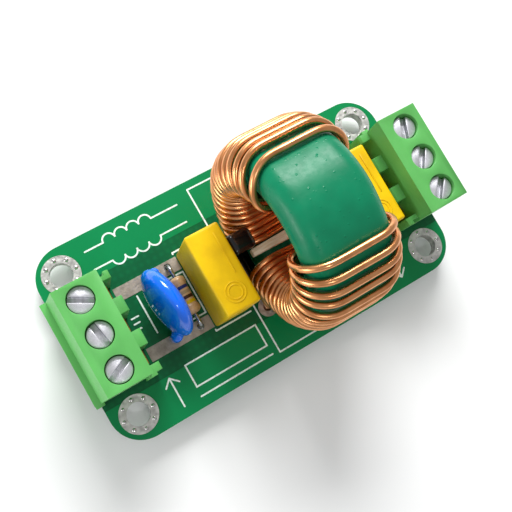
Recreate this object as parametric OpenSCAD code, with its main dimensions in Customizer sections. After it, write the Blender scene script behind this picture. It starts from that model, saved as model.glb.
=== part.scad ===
// Mains line filter on a small circuit board: a common-mode choke, two film capacitors,
// a varistor and a discharge resistor between two three-pole screw terminal blocks.
// Origin: centre of the four mounting holes on the underside of the board. +X runs from
// the input block to the output block, +Z away from the board. Millimetres.

/* [Board] */
// Length of the board along X
board_l = 60; // [58:0.5:66]
// Width of the board along Y
board_w = 31; // [31:0.5:40]
// Thickness of the board
board_t = 1.6; // [1:0.1:2.4]
// Radius of the board's corners
board_corner_r = 5; // [2:0.5:6]
// Distance of each mounting hole from the two edges beside it
hole_inset = 4; // [3.8:0.1:4.5]
// Diameter of a plated mounting hole
hole_d = 3.5; // [2.5:0.1:4]
// Outer diameter of the tinned ring around a mounting hole
ring_d = 5.8; // [5:0.1:6.4]
// Wall of the copper barrel in a mounting hole
barrel_t = 0.1; // [0.05:0.05:0.3]
// Height of tinned copper above the board
tin_t = 0.07; // [0.04:0.01:0.15]
// Height of the printed white ink
ink_t = 0.04; // [0.02:0.01:0.1]
// Width of a printed line
ink_w = 0.25; // [0.15:0.05:0.4]

/* [Terminal blocks] */
// Distance between neighbouring poles
pole_pitch = 5.08; // [5:0.02:5.2]
// Distance of the screw axes from the end of the board
screw_inset = 4; // [3.6:0.1:4.4]
// Height of a block above the board
block_h = 14.4; // [14.2:0.1:18]
// Width of a block's top face
block_top_w = 6.45; // [6.2:0.05:7]
// Distance from the screw axis to the inner wall
inner_wall_d = 3.5; // [3.3:0.1:4]
// Length of the lower ribs that stand inwards from the inner wall
rib_l = 1.7; // [1.2:0.1:2.2]
// Width of a lower rib
rib_w = 2.3; // [1.6:0.1:2.6]
// Height of the lower ribs above the board
rib_h = 9.9; // [8:0.1:11]
// Height of the ledge over the wire entries above the board
ledge_h = 9; // [8.2:0.1:10.5]
// How far the draft of the outer wall reaches beyond the top face
draft_w = 0.95; // [0.3:0.05:1.2]
// Depth of the ledge over the wire entries
ledge_w = 0.95; // [0.4:0.05:1.5]
// Width of a wire entry
entry_w = 3.4; // [2.6:0.1:3.8]
// Height of a wire entry
entry_h = 4; // [3:0.1:4.4]

/* [Clamps] */
// Diameter of a clamping screw's shank
shank_d = 2.5; // [2:0.1:2.6]
// Diameter of a clamping screw's head
head_d = 3.5; // [3:0.1:3.6]
// Height of a clamping screw's head
head_h = 1.45; // [1.2:0.05:1.8]
// How far a screw head sits below the top face
head_recess = 0.6; // [0.3:0.1:1]
// Width of the driver slot
slot_w = 0.8; // [0.5:0.1:1]
// Depth of the driver slot
slot_depth = 0.9; // [0.5:0.1:1]
// Width of a rising clamp across the block's length
clamp_w = 3.8; // [3.6:0.05:3.9]
// Depth of a rising clamp along X
clamp_d = 3.7; // [3.2:0.1:3.8]
// Wall of a rising clamp at the sides and the bottom
clamp_wall = 0.5; // [0.4:0.05:0.55]
// Wall of a rising clamp at the threaded top
clamp_top_wall = 1.2; // [0.9:0.1:1.4]
// Travel of a clamp from open to closed
clamp_travel = 2.7; // [1.8:0.1:2.8]
// Thickness of the contact strip
strip_t = 0.7; // [0.5:0.05:0.8]
// Width of the contact strip under the screw
strip_w = 2; // [1.4:0.1:2.2]
// Width of the soldered leg of the contact strip
leg_w = 1.2; // [0.8:0.1:1.4]

/* [Choke] */
// Distance of the choke's middle from the middle of the board
choke_x = 5.2; // [4.8:0.1:5.6]
// Outer radius of the coated core
core_ro = 13.2; // [12.6:0.1:13.4]
// Inner radius of the coated core
core_ri = 7.4; // [7.2:0.1:8]
// Axial length of the coated core
core_l = 12.8; // [11.8:0.1:13.2]
// Radius on the core's edges
core_edge_r = 2.85; // [2:0.05:2.85]
// Diameter of the enamelled copper wire
wire_d = 1; // [0.8:0.05:1]
// How far the wires stand off the core's faces
face_slack = 0.3; // [0.3:0.05:0.5]
// How much further the lower turns stand off the front face
face_flare = 0.8; // [0:0.1:0.9]
// Thickness of the plastic base under the choke
base_t = 1.4; // [1:0.1:2.5]
// Width of the base's hook across the board
hook_w = 2.3; // [2:0.1:2.4]
// Thickness of the base's hook over the core
hook_t = 1; // [0.8:0.1:1.3]
// Diameter of the tinned pads of the choke's leads
choke_pad_d = 3; // [2.2:0.1:3.4]
// Thickness of the divider strip at its front end
divider_w = 1.1; // [0.8:0.1:1.3]

/* [Small parts] */
// Thickness of a film capacitor along X
cap_t = 5.36; // [4.6:0.02:5.6]
// Length of a film capacitor along Y
cap_l = 12.5; // [12:0.1:13]
// Height of a film capacitor
cap_h = 11.6; // [9:0.1:14]
// Distance between a film capacitor's two leads
cap_lead_pitch = 10; // [7.5:0.5:10]
// Diameter of the varistor's disc
varistor_d = 11; // [9:0.1:12]
// Thickness of the varistor in the middle
varistor_t = 3.9; // [3:0.1:4.2]
// Length of the resistor's body
resistor_l = 6.2; // [5.6:0.1:6.6]
// Diameter of the resistor's end beads
resistor_d = 2.5; // [2:0.1:2.7]
// Distance between the holes of the resistor's leads
resistor_pitch = 10.16; // [9.6:0.02:10.4]
// Diameter of the leads of capacitors and varistor
lead_d = 0.8; // [0.6:0.05:0.9]
// Diameter of the resistor's leads
thin_lead_d = 0.6; // [0.4:0.05:0.7]
// Diameter of the drilled lead holes
lead_hole_d = 1.1; // [1:0.05:1.3]
// How far soldered leads stand out below the board
lead_out = 1.5; // [1:0.1:1.8]

/* [Hidden] */

$fn = 64;
eps = 0.01;
poles = 3;

// Board
hole_x = board_l / 2 - hole_inset;
hole_y = board_w / 2 - hole_inset;
barrel_r = hole_d / 2 + barrel_t;
track_in_y = 3.95;    // inner edge of a tinned track
track_out_y = 6.05;   // outer edge of a tinned track
solder_r = 1.05;      // radius of a small solder joint
solder_h = 1;         // height of a solder joint below the board
solder_fill = board_t / 2;
print_gap = 0.1;      // clearance of print and pads round what stands on the board

// Terminal block, measured outwards from the middle of the board
screw_u = board_l / 2 - screw_inset;
wall_u = screw_u - inner_wall_d;
rib_u = wall_u - rib_l;
top_out_u = wall_u + block_top_w;
ledge_u = top_out_u + draft_w;
lip_u = ledge_u + ledge_w;
block_l = poles * pole_pitch;
block_top = board_t + block_h;
rib_top = board_t + rib_h;
ledge_top = board_t + ledge_h;
rib_bevel = 0.35;
key_l = 0.4;          // how far the joining keys stand out of one end
key_w = 1.1;
slide_gap = 0.13;     // clearance around a rising clamp
head_gap = 0.15;      // clearance around a screw head and its shank
thread_gap = 0.05;    // clearance between a shank and the clamp's thread
seat_gap = 0.05;      // clearance under a screw head and its tip
head_r = head_d / 2;
shank_r = shank_d / 2;
head_top = block_top - head_recess;
head_seat = head_top - head_h - seat_gap;
seat_t = 0.65;        // wall that holds the screw head
chamber_top = head_seat - seat_t;
strip_z = board_t + 5.8;
strip_top = strip_z + strip_t;
strip_gap = 0.05;     // clearance of the strip in its slot
strip_rim = 0.2;      // how far the strip reaches beyond the screw
clamp_above = 0.3;    // open clamp's top wall above the strip
clamp_z1 = strip_top + clamp_above + clamp_top_wall;
clamp_open = clamp_travel + 0.5;
clamp_z0 = strip_z - clamp_open - 0.8;
leg_t = 0.6;
leg_gap = 0.15;       // leg to inner wall
leg_u1 = wall_u - leg_gap;
leg_u0 = leg_u1 - leg_t;
leg_u = (leg_u0 + leg_u1) / 2;
leg_hole_d = 1.6;
leg_out = 2;          // how far the legs stand out below the board
entry_z = clamp_z0 + 0.8 - 0.3;
funnel = 0.4;         // how much wider a wire entry is at its mouth
funnel_d = 0.9;

// Slot directions of the six screws, degrees from +X
input_slots = [-29, 101, 25];
output_slots = [68, 54, 50];

// Choke
wire_r = wire_d / 2;
wire_gap = 0.1;                         // enamel and slack between wire and core
path_off = wire_r + wire_gap;
run_in = core_ri - path_off;            // radius of the runs inside the bore
run_out = core_ro + path_off;           // radius of the runs outside
face_x = core_l / 2 + path_off + face_slack;    // furthest out on the core's faces
bend_out_r = 0.59 * (run_out - run_in);         // bend of the wire at the outer corner
bend_in_r = run_out - run_in - bend_out_r;      // bend of the wire at the bore
meet_r = run_in + bend_in_r;                    // radius where the two bends meet
choke_z = board_t + base_t + core_ro + 0.05;
turns = [17, 16];                       // turns of winding a and winding b
bore_step = 2 * asin((wire_r + 0.005) / run_in);    // degrees between turns in the bore
back_lead_x = choke_x + face_x + wire_d + 0.1;
back_lead_y = 5;
front_lead_x = choke_x - core_l / 2 - 0.4;
front_lead_y = -7.4;
side_lead_x = choke_x + core_l / 2 - 0.4;
side_lead_y = 9.4;
hook_y = 2.3;                           // middle of the hook
hook_z = choke_z - (run_in - wire_r) * cos(32);     // underside of its arm, on the wires
hook_back = choke_x - face_x - face_flare - wire_r - 0.1;
hook_front = hook_back - 0.9;
hook_reach = 3.5;                       // how far the arm reaches over the wires
core_front = choke_x - core_l / 2;
base_w = 9;                             // width of the base's plate
base_rim = 0.6;                         // how far the plate stands out round the core
foot_y = 3.3;                           // how far the foot reaches towards -Y

// Print
print_margin = 0.45;   // from a part to the line round it
front_margin = 2.25;   // from the choke's core to the line in front of it
side_margin = 1;       // from the choke's core to the lines beside it
edge_margin = 1.6;     // from the edge of the board to the lowest print
arrow_l = 4.6;
arrow_w = 1.1;
arrow_inset = 2.7;     // from the block's inner wall to the arrow
coil_r = 1;
coil_x = 21.5;         // where the circuit drawing starts
coil_y = 12.9;         // middle of its upper row
label_l = 12.4;
label_w = 3.8;
label_x = 17;          // where the label field starts
label_step = 1.4;      // from the line under the label field to the field

// Small parts
cap_gap_front = 3.5;                    // choke core to input capacitor
cap_edge_r = 0.5;
cap_in_x = choke_x - core_l / 2 - cap_gap_front - cap_t / 2;
cap_out_x = (back_lead_x + wire_r + rib_u) / 2;    // midway between leads and block
resistor_x = cap_in_x - cap_t / 2 - 1.94;
resistor_y = 0.1;
resistor_z = board_t + 0.1 + resistor_d / 2;
resistor_mid_r = resistor_d / 2 - 0.17;  // radius between the end beads
bead_l = 1.5;
band_w = 0.5;
band_step = 0.8;
varistor_x = resistor_x - 3.6;
varistor_z = board_t + 1.2 + varistor_d / 2;
varistor_turn = 6.5;
varistor_lean = 4;
varistor_lead_x = 0.75;
varistor_lead_y = 4.7;

// ---------------------------------------------------------------- helpers

// Rounded rectangle in the plane, made of squares and circles
module rounded_plate(l, w, r) {
    square([l - 2 * r, w], center = true);
    square([l, w - 2 * r], center = true);
    for (sx = [-1, 1], sy = [-1, 1])
        translate([sx * (l / 2 - r), sy * (w / 2 - r)]) circle(r);
}

// Box with every edge rounded, standing on z = 0
module rounded_box(l, w, h, r) {
    intersection() {
        linear_extrude(h) rounded_plate(l, w, r);
        translate([0, w / 2, h / 2]) rotate([90, 0, 0])
            linear_extrude(w) rounded_plate(l, h, r);
        translate([-l / 2, 0, h / 2]) rotate([90, 0, 90])
            linear_extrude(l) rounded_plate(w, h, r);
    }
}

// Straight printed line between two points
module stroke(a, b, w = ink_w) {
    d = b - a;
    translate(a) rotate(atan2(d[1], d[0])) {
        translate([0, -w / 2]) square([norm(d), w]);
        circle(w / 2, $fn = 16);
        translate([norm(d), 0]) circle(w / 2, $fn = 16);
    }
}

// Printed line through a list of points
module polyline(points, w = ink_w) {
    for (i = [0 : len(points) - 2]) stroke(points[i], points[i + 1], w);
}

// Places a child in the frame of the input (-1) or output (1) block: the two blocks are
// the same part, one turned by half a turn
module at_block(side) {
    rotate([0, 0, side > 0 ? 0 : 180]) children();
}

// Y of pole i, counted from the +Y end of the board, in the block's own frame
function pole_y(side, i) = side * (2 - i) * pole_pitch;

// ---------------------------------------------------------------- lead positions

// x, y, radius of lead, radius of hole
leads = concat(
    [for (x = [cap_in_x, cap_out_x], s = [-1, 1])
        [x, s * cap_lead_pitch / 2, lead_d / 2, lead_hole_d / 2]],
    [for (s = [-1, 1])
        [resistor_x, resistor_y + s * resistor_pitch / 2, thin_lead_d / 2, lead_hole_d / 2]],
    [for (s = [-1, 1])
        [varistor_x + s * varistor_lead_x, s * varistor_lead_y, lead_d / 2, lead_hole_d / 2]]);
choke_leads = [
    [back_lead_x, back_lead_y], [back_lead_x, -back_lead_y],
    [front_lead_x, front_lead_y], [side_lead_x, side_lead_y]];
choke_hole_r = wire_r + 0.2;

// ---------------------------------------------------------------- board

module circuit_board() {
    color("#0b7a44") difference() {
        linear_extrude(board_t) rounded_plate(board_l, board_w, board_corner_r);
        for (sx = [-1, 1], sy = [-1, 1])
            translate([sx * hole_x, sy * hole_y, -1]) cylinder(r = barrel_r, h = board_t + 2);
        for (p = leads)
            translate([p[0], p[1], -1]) cylinder(r = p[3], h = board_t + 2);
        for (p = choke_leads)
            translate([p[0], p[1], -1]) cylinder(r = choke_hole_r, h = board_t + 2);
        for (side = [-1, 1], i = [1 : poles])
            at_block(side) translate([leg_u, pole_y(side, i), -1])
                cylinder(d = leg_hole_d, h = board_t + 2);
    }
}

// Place of a terminal block on the board
module block_outline(side) {
    at_block(side) translate([rib_u, -block_l / 2]) square([lip_u - rib_u, block_l + key_l]);
}

// Barrel and rings of one mounting hole, with the stitching vias' dimples
module hole_plating(sx, sy) {
    via_r = 0.2;
    via_ring = (hole_d + ring_d) / 4;
    color("#b5b0ab") translate([sx * hole_x, sy * hole_y, 0]) difference() {
        union() {
            translate([0, 0, -tin_t]) cylinder(r = barrel_r, h = board_t + 2 * tin_t);
            translate([0, 0, board_t]) cylinder(d = ring_d, h = tin_t);
            translate([0, 0, -tin_t]) cylinder(d = ring_d, h = tin_t);
        }
        translate([0, 0, -1]) cylinder(d = hole_d, h = board_t + 2);
        for (a = [0 : 45 : 315])
            rotate(a) translate([via_ring, 0, board_t + tin_t / 2])
                cylinder(r = via_r, h = tin_t, $fn = 24);
        // Room for the terminal block beside it
        translate([-sx * hole_x, -sy * hole_y, board_t]) linear_extrude(block_h)
            offset(delta = print_gap) block_outline(sx);
    }
}

// The two bare tinned tracks between the input block and its capacitor
module tinned_tracks() {
    x0 = -rib_u + 0.1;
    x1 = cap_in_x - cap_t / 2 - 0.1;
    color("#b3a49d") for (s = [-1, 1]) difference() {
        translate([x0, s > 0 ? track_in_y : -track_out_y, board_t])
            cube([x1 - x0, track_out_y - track_in_y, tin_t]);
        for (p = leads)
            translate([p[0], p[1], board_t - 1]) cylinder(r = p[3], h = 3);
    }
}

module choke_pads() {
    pad_edge = cap_out_x - cap_t / 2 - print_gap;
    color("#c9c7c3") difference() {
        for (p = choke_leads) translate([p[0], p[1], board_t])
            cylinder(d = choke_pad_d, h = tin_t);
        for (p = choke_leads) translate([p[0], p[1], board_t - 1])
            cylinder(r = choke_hole_r, h = 3);
        // Flat side next to the output capacitor
        translate([pad_edge, -board_w / 2, board_t - 1]) cube([board_l, board_w, 3]);
    }
}

// One solder joint: fills the lower half of the hole and rises around the lead
module solder_joint(x, y, lead_r, hole_r, pad_r) {
    translate([x, y, 0]) rotate_extrude() polygon([
        [lead_r, solder_fill], [hole_r, solder_fill], [hole_r, 0], [pad_r, 0],
        [pad_r, -0.06], [lead_r + 0.25, -0.55 * solder_h], [lead_r + 0.1, -solder_h],
        [lead_r, -solder_h]]);
}

module solder_joints() {
    color("#c4c6c8") {
        for (p = leads) solder_joint(p[0], p[1], p[2], p[3], solder_r);
        for (p = choke_leads)
            solder_joint(p[0], p[1], wire_r + 0.02, choke_hole_r, choke_pad_d / 2);
        for (side = [-1, 1], i = [1 : poles])
            at_block(side) translate([leg_u, pole_y(side, i), 0]) difference() {
                rotate_extrude() polygon([
                    [0, solder_fill], [leg_hole_d / 2, solder_fill], [leg_hole_d / 2, 0],
                    [1.4, 0], [1.4, -0.06], [0.95, -0.6 * solder_h], [0.8, -solder_h],
                    [0, -solder_h]]);
                cube([leg_t, leg_w, 8], center = true);
            }
    }
}

// White print: outlines of the parts, plain signs and a blank label field
module silkscreen() {
    rect_x0 = core_front - front_margin;
    rect_x1 = cap_out_x - cap_t / 2 - print_margin;
    rect_y = core_ro + side_margin;
    cap_y = cap_l / 2 + print_margin;
    cap_x0 = cap_in_x - cap_t / 2 - print_margin / 2;
    cap_x1 = cap_in_x + cap_t / 2 + print_margin;
    box_y = track_in_y - print_margin;
    box_x = resistor_x - 0.68 * resistor_d;
    mark_x = -rib_u + print_margin;
    mark_step = arrow_w * 0.8;
    arrow_x = wall_u - arrow_inset;
    arrow_y = board_w / 2 - edge_margin;
    color("#eef5ee") translate([0, 0, board_t]) linear_extrude(ink_t) difference() {
        union() {
            // Outline of the choke
            polyline([[rect_x1, rect_y], [rect_x0, rect_y], [rect_x0, -rect_y], [rect_x1, -rect_y],
                [rect_x1, rect_y]]);
            // Outlines of the two capacitors
            for (s = [-1, 1]) {
                polyline([[cap_x0, s * (track_out_y + print_margin)], [cap_x0, s * cap_y],
                    [cap_x1, s * cap_y]]);
                stroke([cap_out_x - cap_t / 2, s * cap_y], [cap_out_x + cap_t / 2, s * cap_y]);
            }
            // Outlines of the resistor and the varistor
            polyline([[cap_x0, box_y], [cap_x0, -box_y], [box_x, -box_y], [box_x, box_y],
                [cap_x0, box_y]]);
            translate([varistor_x - varistor_t / 2 - print_margin, 0])
                stroke([0, box_y], [0, -box_y * 3 / 4]);
            // Earth sign at the middle pole
            for (k = [0 : 2]) translate([mark_x, (1 - k) * mark_step])
                stroke([0, 0], [arrow_w * (1 - k / 5), 0]);
            // Arrow into the board at the input and out of it at the output
            for (side = [-1, 1]) translate([side * arrow_x, -arrow_y])
                mirror([0, side > 0 ? 1 : 0]) translate([0, side > 0 ? -arrow_l : 0]) {
                    stroke([0, 0], [0, arrow_l]);
                    for (s = [-1, 1]) stroke([s * arrow_w, arrow_l - arrow_w], [0, arrow_l]);
                }
            // Circuit drawing of a line filter: two coils in line with the tracks
            for (row = [0, 1]) translate([-coil_x, coil_y - 3 * coil_r * row]) {
                stroke([0, 0], [3 * coil_r, 0]);
                for (k = [0 : 3]) translate([(4 + 2 * k) * coil_r, 0]) intersection() {
                    difference() {
                        circle(coil_r + ink_w / 2, $fn = 32);
                        circle(coil_r - ink_w / 2, $fn = 32);
                    }
                    translate([-2 * coil_r, row == 0 ? 0 : -2 * coil_r])
                        square([4 * coil_r, 2 * coil_r]);
                }
                stroke([11 * coil_r, 0], [15.5 * coil_r, 0]);
            }
            // Blank field for a hand-written label, with a line under it
            translate([-label_x, -arrow_y]) {
                stroke([0, 0], [label_l, 0]);
                translate([0, label_step]) difference() {
                    square([label_l, label_w]);
                    translate([ink_w, ink_w]) square([label_l - 2 * ink_w, label_w - 2 * ink_w]);
                }
            }
        }
        // No print under the choke's pads and base
        for (p = choke_leads) translate([p[0], p[1]]) circle(choke_pad_d / 2 + print_gap);
        offset(delta = print_gap) base_plate();
        offset(delta = print_gap) base_foot();
    }
}

// ---------------------------------------------------------------- terminal blocks

module housing_profile() {
    polygon([
        [rib_u, board_t], [rib_u, rib_top - rib_bevel], [rib_u + rib_bevel, rib_top],
        [wall_u, rib_top], [wall_u, block_top], [top_out_u, block_top], [ledge_u, ledge_top],
        [lip_u, ledge_top], [lip_u, board_t]]);
}

module housing(side) {
    color("#5db558") at_block(side) difference() {
        union() {
            translate([0, block_l / 2, 0]) rotate([90, 0, 0])
                linear_extrude(block_l) housing_profile();
            // Keys that join blocks side by side
            translate([wall_u - key_w + 0.3, block_l / 2 - eps, board_t])
                cube([key_w, key_l + eps, rib_h]);
            translate([ledge_u - key_w + 0.7, block_l / 2 - eps, board_t])
                cube([key_w + 0.2, key_l + eps, ledge_h]);
        }
        // Matching grooves in the other end
        translate([wall_u - key_w + 0.2, -block_l / 2 - 1, board_t - 1])
            cube([key_w + 0.2, key_l + 1.1, rib_h + 1.2]);
        translate([ledge_u - key_w + 0.6, -block_l / 2 - 1, board_t - 1])
            cube([key_w + 0.4, key_l + 1.1, ledge_h + 0.8]);
        for (i = [1 : poles]) translate([0, pole_y(side, i), 0]) {
            // Gap between the lower ribs, where the contact's leg shows
            translate([rib_u - 1, -(pole_pitch - rib_w) / 2, board_t - 1])
                cube([rib_l + 1, pole_pitch - rib_w, rib_h + 2]);
            // Chamber of the rising clamp, open at the bottom
            translate([screw_u - clamp_d / 2 - slide_gap, -clamp_w / 2 - slide_gap, board_t - 1])
                cube([clamp_d + 2 * slide_gap, clamp_w + 2 * slide_gap, chamber_top - board_t + 1]);
            // Wire entry and its wider mouth
            translate([screw_u, -entry_w / 2, entry_z])
                cube([lip_u - screw_u + 1, entry_w, entry_h]);
            translate([lip_u - funnel_d, -entry_w / 2 - funnel, entry_z - funnel])
                cube([funnel_d + 1, entry_w + 2 * funnel, entry_h + 2 * funnel]);
            // Slot for the contact strip
            translate([wall_u - 1, -strip_w / 2 - strip_gap, strip_z - strip_gap])
                cube([inner_wall_d, strip_w + 2 * strip_gap, strip_t + 2 * strip_gap]);
            // Seat and opening of the screw
            translate([screw_u, 0, chamber_top - 1])
                cylinder(r = shank_r + head_gap, h = seat_t + 2);
            translate([screw_u, 0, head_seat])
                cylinder(r = head_r + head_gap, h = block_top - head_seat + 1);
        }
    }
}

module clamp_screw(side, i) {
    slot = side < 0 ? input_slots[i - 1] : output_slots[i - 1];
    color("#c9cbcf") at_block(side) translate([screw_u, pole_y(side, i), 0]) difference() {
        union() {
            translate([0, 0, strip_top + seat_gap])
                cylinder(r = shank_r, h = head_seat - strip_top);
            translate([0, 0, head_seat + seat_gap]) cylinder(r = head_r, h = head_h);
        }
        translate([0, 0, head_top]) rotate(slot - (side < 0 ? 180 : 0))
            cube([2 * head_d, slot_w, 2 * slot_depth], center = true);
    }
}

module rising_clamp(side, i) {
    color("#b9b6ac") at_block(side) translate([screw_u, pole_y(side, i), 0]) difference() {
        translate([-clamp_d / 2, -clamp_w / 2, clamp_z0])
            cube([clamp_d, clamp_w, clamp_z1 - clamp_z0]);
        translate([-clamp_d, -clamp_w / 2 + clamp_wall, clamp_z0 + 0.8])
            cube([2 * clamp_d, clamp_w - 2 * clamp_wall,
                clamp_z1 - clamp_top_wall - clamp_z0 - 0.8]);
        translate([0, 0, clamp_z1 - clamp_top_wall - 1])
            cylinder(r = shank_r + thread_gap, h = clamp_top_wall + 2);
    }
}

module contact(side, i) {
    color("#a8692c") at_block(side) translate([0, pole_y(side, i), 0]) {
        translate([leg_u0, -strip_w / 2, strip_z])
            cube([screw_u + shank_r + strip_rim - leg_u0, strip_w, strip_t]);
        translate([leg_u0, -leg_w / 2, -leg_out]) cube([leg_t, leg_w, strip_z + leg_out + eps]);
    }
}

// ---------------------------------------------------------------- capacitors

module capacitor(x) {
    color("#e6c400") translate([x, 0, board_t]) rounded_box(cap_t, cap_l, cap_h, cap_edge_r);
}

module capacitor_leads(x) {
    color("#c4c6c8") for (s = [-1, 1])
        translate([x, s * cap_lead_pitch / 2, -lead_out]) cylinder(d = lead_d, h = board_t + lead_out);
}

// ---------------------------------------------------------------- varistor

// Half of the disc's outline: distance from the middle plane at radius r
function lens(r) = let (e = r / (varistor_d / 2))
    varistor_t / 2 * pow(max(0, 1 - pow(e, 2.6)), 0.55);

module varistor_placed() {
    translate([varistor_x, 0, varistor_z])
        rotate([0, varistor_lean, varistor_turn]) rotate([0, 90, 0]) children();
}

module varistor_disc() {
    n = 14;
    radii = [for (k = [0 : n]) varistor_d / 2 * sin(90 * k / n)];
    color("#0a62ff") difference() {
        varistor_placed() rotate_extrude($fn = 72) polygon(concat(
            [for (r = radii) [r, lens(r)]],
            [for (k = [n - 1 : -1 : 0]) [radii[k], -lens(radii[k])]]));
        varistor_wires();
    }
}

module varistor_wires() {
    for (s = [-1, 1])
        translate([varistor_x + s * varistor_lead_x, s * varistor_lead_y, -lead_out])
            cylinder(d = lead_d, h = varistor_z + lead_out - 1.5);
}

module varistor_leads() {
    color("#b9babd") varistor_wires();
}

// ---------------------------------------------------------------- resistor

module resistor_placed() {
    translate([resistor_x, resistor_y, resistor_z]) rotate([-90, 0, 0]) children();
}

module resistor_body() {
    h = resistor_l / 2;
    r = resistor_d / 2;
    color("#cfa979") resistor_placed() rotate_extrude() polygon([
        [0, -h], [0.75 * r, -h], [r, -h + 0.35], [r, -h + bead_l - 0.3],
        [resistor_mid_r, -h + bead_l], [resistor_mid_r, h - bead_l], [r, h - bead_l + 0.3],
        [r, h - 0.35], [0.75 * r, h], [0, h]]);
}

// Coloured rings painted on the body
module resistor_bands() {
    inks = ["#16245e", "#8b7a5a", "#2f1b14", "#c9a400"];
    for (k = [0 : 3]) color(inks[k]) resistor_placed()
        translate([0, 0, (1.5 - k) * band_step - band_w / 2]) difference() {
            cylinder(r = resistor_mid_r + 0.03, h = band_w);
            translate([0, 0, -1]) cylinder(r = resistor_mid_r, h = band_w + 2);
        }
}

module resistor_leads() {
    bend_r = 0.9;
    reach = resistor_pitch / 2 - bend_r;
    color("#b9babd") for (s = [-1, 1]) translate([resistor_x, resistor_y, resistor_z])
        mirror([0, s > 0 ? 0 : 1, 0]) {
            translate([0, resistor_l / 2, 0]) rotate([-90, 0, 0])
                cylinder(d = thin_lead_d, h = reach - resistor_l / 2);
            translate([0, reach, -bend_r]) rotate([0, -90, 0])
                rotate_extrude(angle = 90) translate([bend_r, 0]) circle(d = thin_lead_d);
            translate([0, reach + bend_r, -resistor_z - lead_out])
                cylinder(d = thin_lead_d, h = resistor_z + lead_out - bend_r);
        }
}

// ---------------------------------------------------------------- choke

module choke_placed() {
    translate([choke_x, 0, choke_z]) rotate([0, 90, 0]) children();
}

module choke_core() {
    color("#12805c") choke_placed() rotate_extrude($fn = 128)
        translate([(core_ro + core_ri) / 2, 0])
            rounded_plate(core_ro - core_ri, core_l, core_edge_r);
}

// Angle of turn k outside the ring, counted from its top: winding a (1) has one turn apart
// from the rest, winding b (-1) starts with widely spaced turns
wide_steps = [9.5, 9.5, 8.5, 10.5, 10];
function outer_a(k) = k == 0 ? 36 : 47 + 7 * (k - 1);
function outer_b(k) = k == 0 ? 31
    : outer_b(k - 1) + (k <= len(wide_steps) ? wide_steps[k - 1] : 7.2);
function outer_angle(s, k) = s > 0 ? outer_a(k) : outer_b(k);

// Angle of turn k inside the bore, where every turn touches the next one
function bore_angle(s, k) = (s > 0 ? (k == 0 ? 33.5 : 40) : 38.5) + bore_step * (k - 1);
function bore_between(s, k) = (bore_angle(s, k) + bore_angle(s, k + 1)) / 2;

// Point of the winding at axial place x, radius r and angle a, with the direction around
// the ring that steers the tube's sides
function on_ring(s, x, r, a) = [
    [choke_x + x, s * r * sin(a), choke_z + r * cos(a)],
    [0, s * cos(a), -sin(a)]];

// Wire along one face, from the bore outwards; dir is -1 on the front face and 1 on the
// back one. Two bends meet where the wire stands off the face the most.
function face_out(s, k, dir, a_in, a_out) = let (
        off = dir < 0 ? face_flare * min(1, k / 5) : 0) [
    for (p = concat(
        [for (b = [0 : 22.5 : 90])
            [face_x - bend_in_r + (bend_in_r + off) * sin(b), meet_r - bend_in_r * cos(b)]],
        [for (b = [67.5 : -22.5 : 0])
            [face_x - bend_out_r + (bend_out_r + off) * sin(b), meet_r + bend_out_r * cos(b)]]))
        on_ring(s, dir * p[0], p[1],
            a_in + (a_out - a_in) * (p[1] - run_in) / (run_out - run_in))];
function reversed(v) = [for (k = [len(v) - 1 : -1 : 0]) v[k]];

// One turn: out over the front face, straight back along the outside, in over the back
function turn_path(s, k) = concat(
    face_out(s, k, -1, bore_angle(s, k), outer_angle(s, k)),
    reversed(face_out(s, k, 1, bore_between(s, k), outer_angle(s, k))));

// Lead that rises from the board behind the choke and enters the bore near its top
function back_lead(s) = let (
        a = bore_angle(s, 0) - bore_step / 2,
        end_y = run_in * sin(a),
        end_z = run_in * cos(a))
    [for (p = [
        [0, back_lead_y, -lead_out - choke_z], [0, back_lead_y, 2.4 - choke_z],
        [0, 4.6, 4.2 - choke_z], [0, 3.5, 8 - choke_z], [0, 3, -4],
        [0, (end_y + 3) / 2, end_z - 3.2], [-0.15, end_y - 0.05, end_z - 1.3],
        [-0.8, end_y, end_z - 0.3], [-1.9, end_y, end_z]])
    [[back_lead_x + p[0], s * p[1], choke_z + p[2]], [0, s, 0]]];

// Lead of winding b: out of the bore, down the front face and under the core to its pad
function front_lead(k) = let (a = bore_angle(-1, k)) concat(
    [for (b = [0 : 30 : 90]) on_ring(-1,
        bend_in_r - face_x - (bend_in_r + face_flare) * sin(b),
        meet_r - bend_in_r * cos(b), a - 3 * b / 90)],
    [on_ring(-1, -face_x - face_flare, meet_r + 1.5, a - 5)],
    [for (p = [[-0.45, 2.3, 4.3], [-0.3, 1.1, 3.2], [-0.1, 0.3, 2.4], [0, 0, 1.6],
        [0, 0, -lead_out]])
        [[front_lead_x + p[0], front_lead_y + p[1], p[2]], [0, 1, 0]]]);

// Lead of winding a: down behind the choke to its pad
function side_lead(k) = concat(
    [on_ring(1, face_x - bend_out_r, run_out, outer_angle(1, k))],
    [for (p = [[-1.2, -0.55, 5.2], [-0.35, -0.35, 4.5], [-0.05, -0.1, 3.5], [0, 0, 2.4],
        [0, 0, -lead_out]])
        [[side_lead_x + p[0], side_lead_y + p[1], p[2]], [0, -1, 0]]]);

function winding_path(s) = let (last = turns[s > 0 ? 0 : 1] - 1) concat(
    back_lead(s),
    [for (k = [0 : last - 1]) each turn_path(s, k)],
    s > 0
        ? concat(face_out(1, last, -1, bore_angle(1, last), outer_angle(1, last)),
            side_lead(last))
        : concat(turn_path(-1, last), front_lead(last + 1)));

function unit(v) = v / norm(v);

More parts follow.
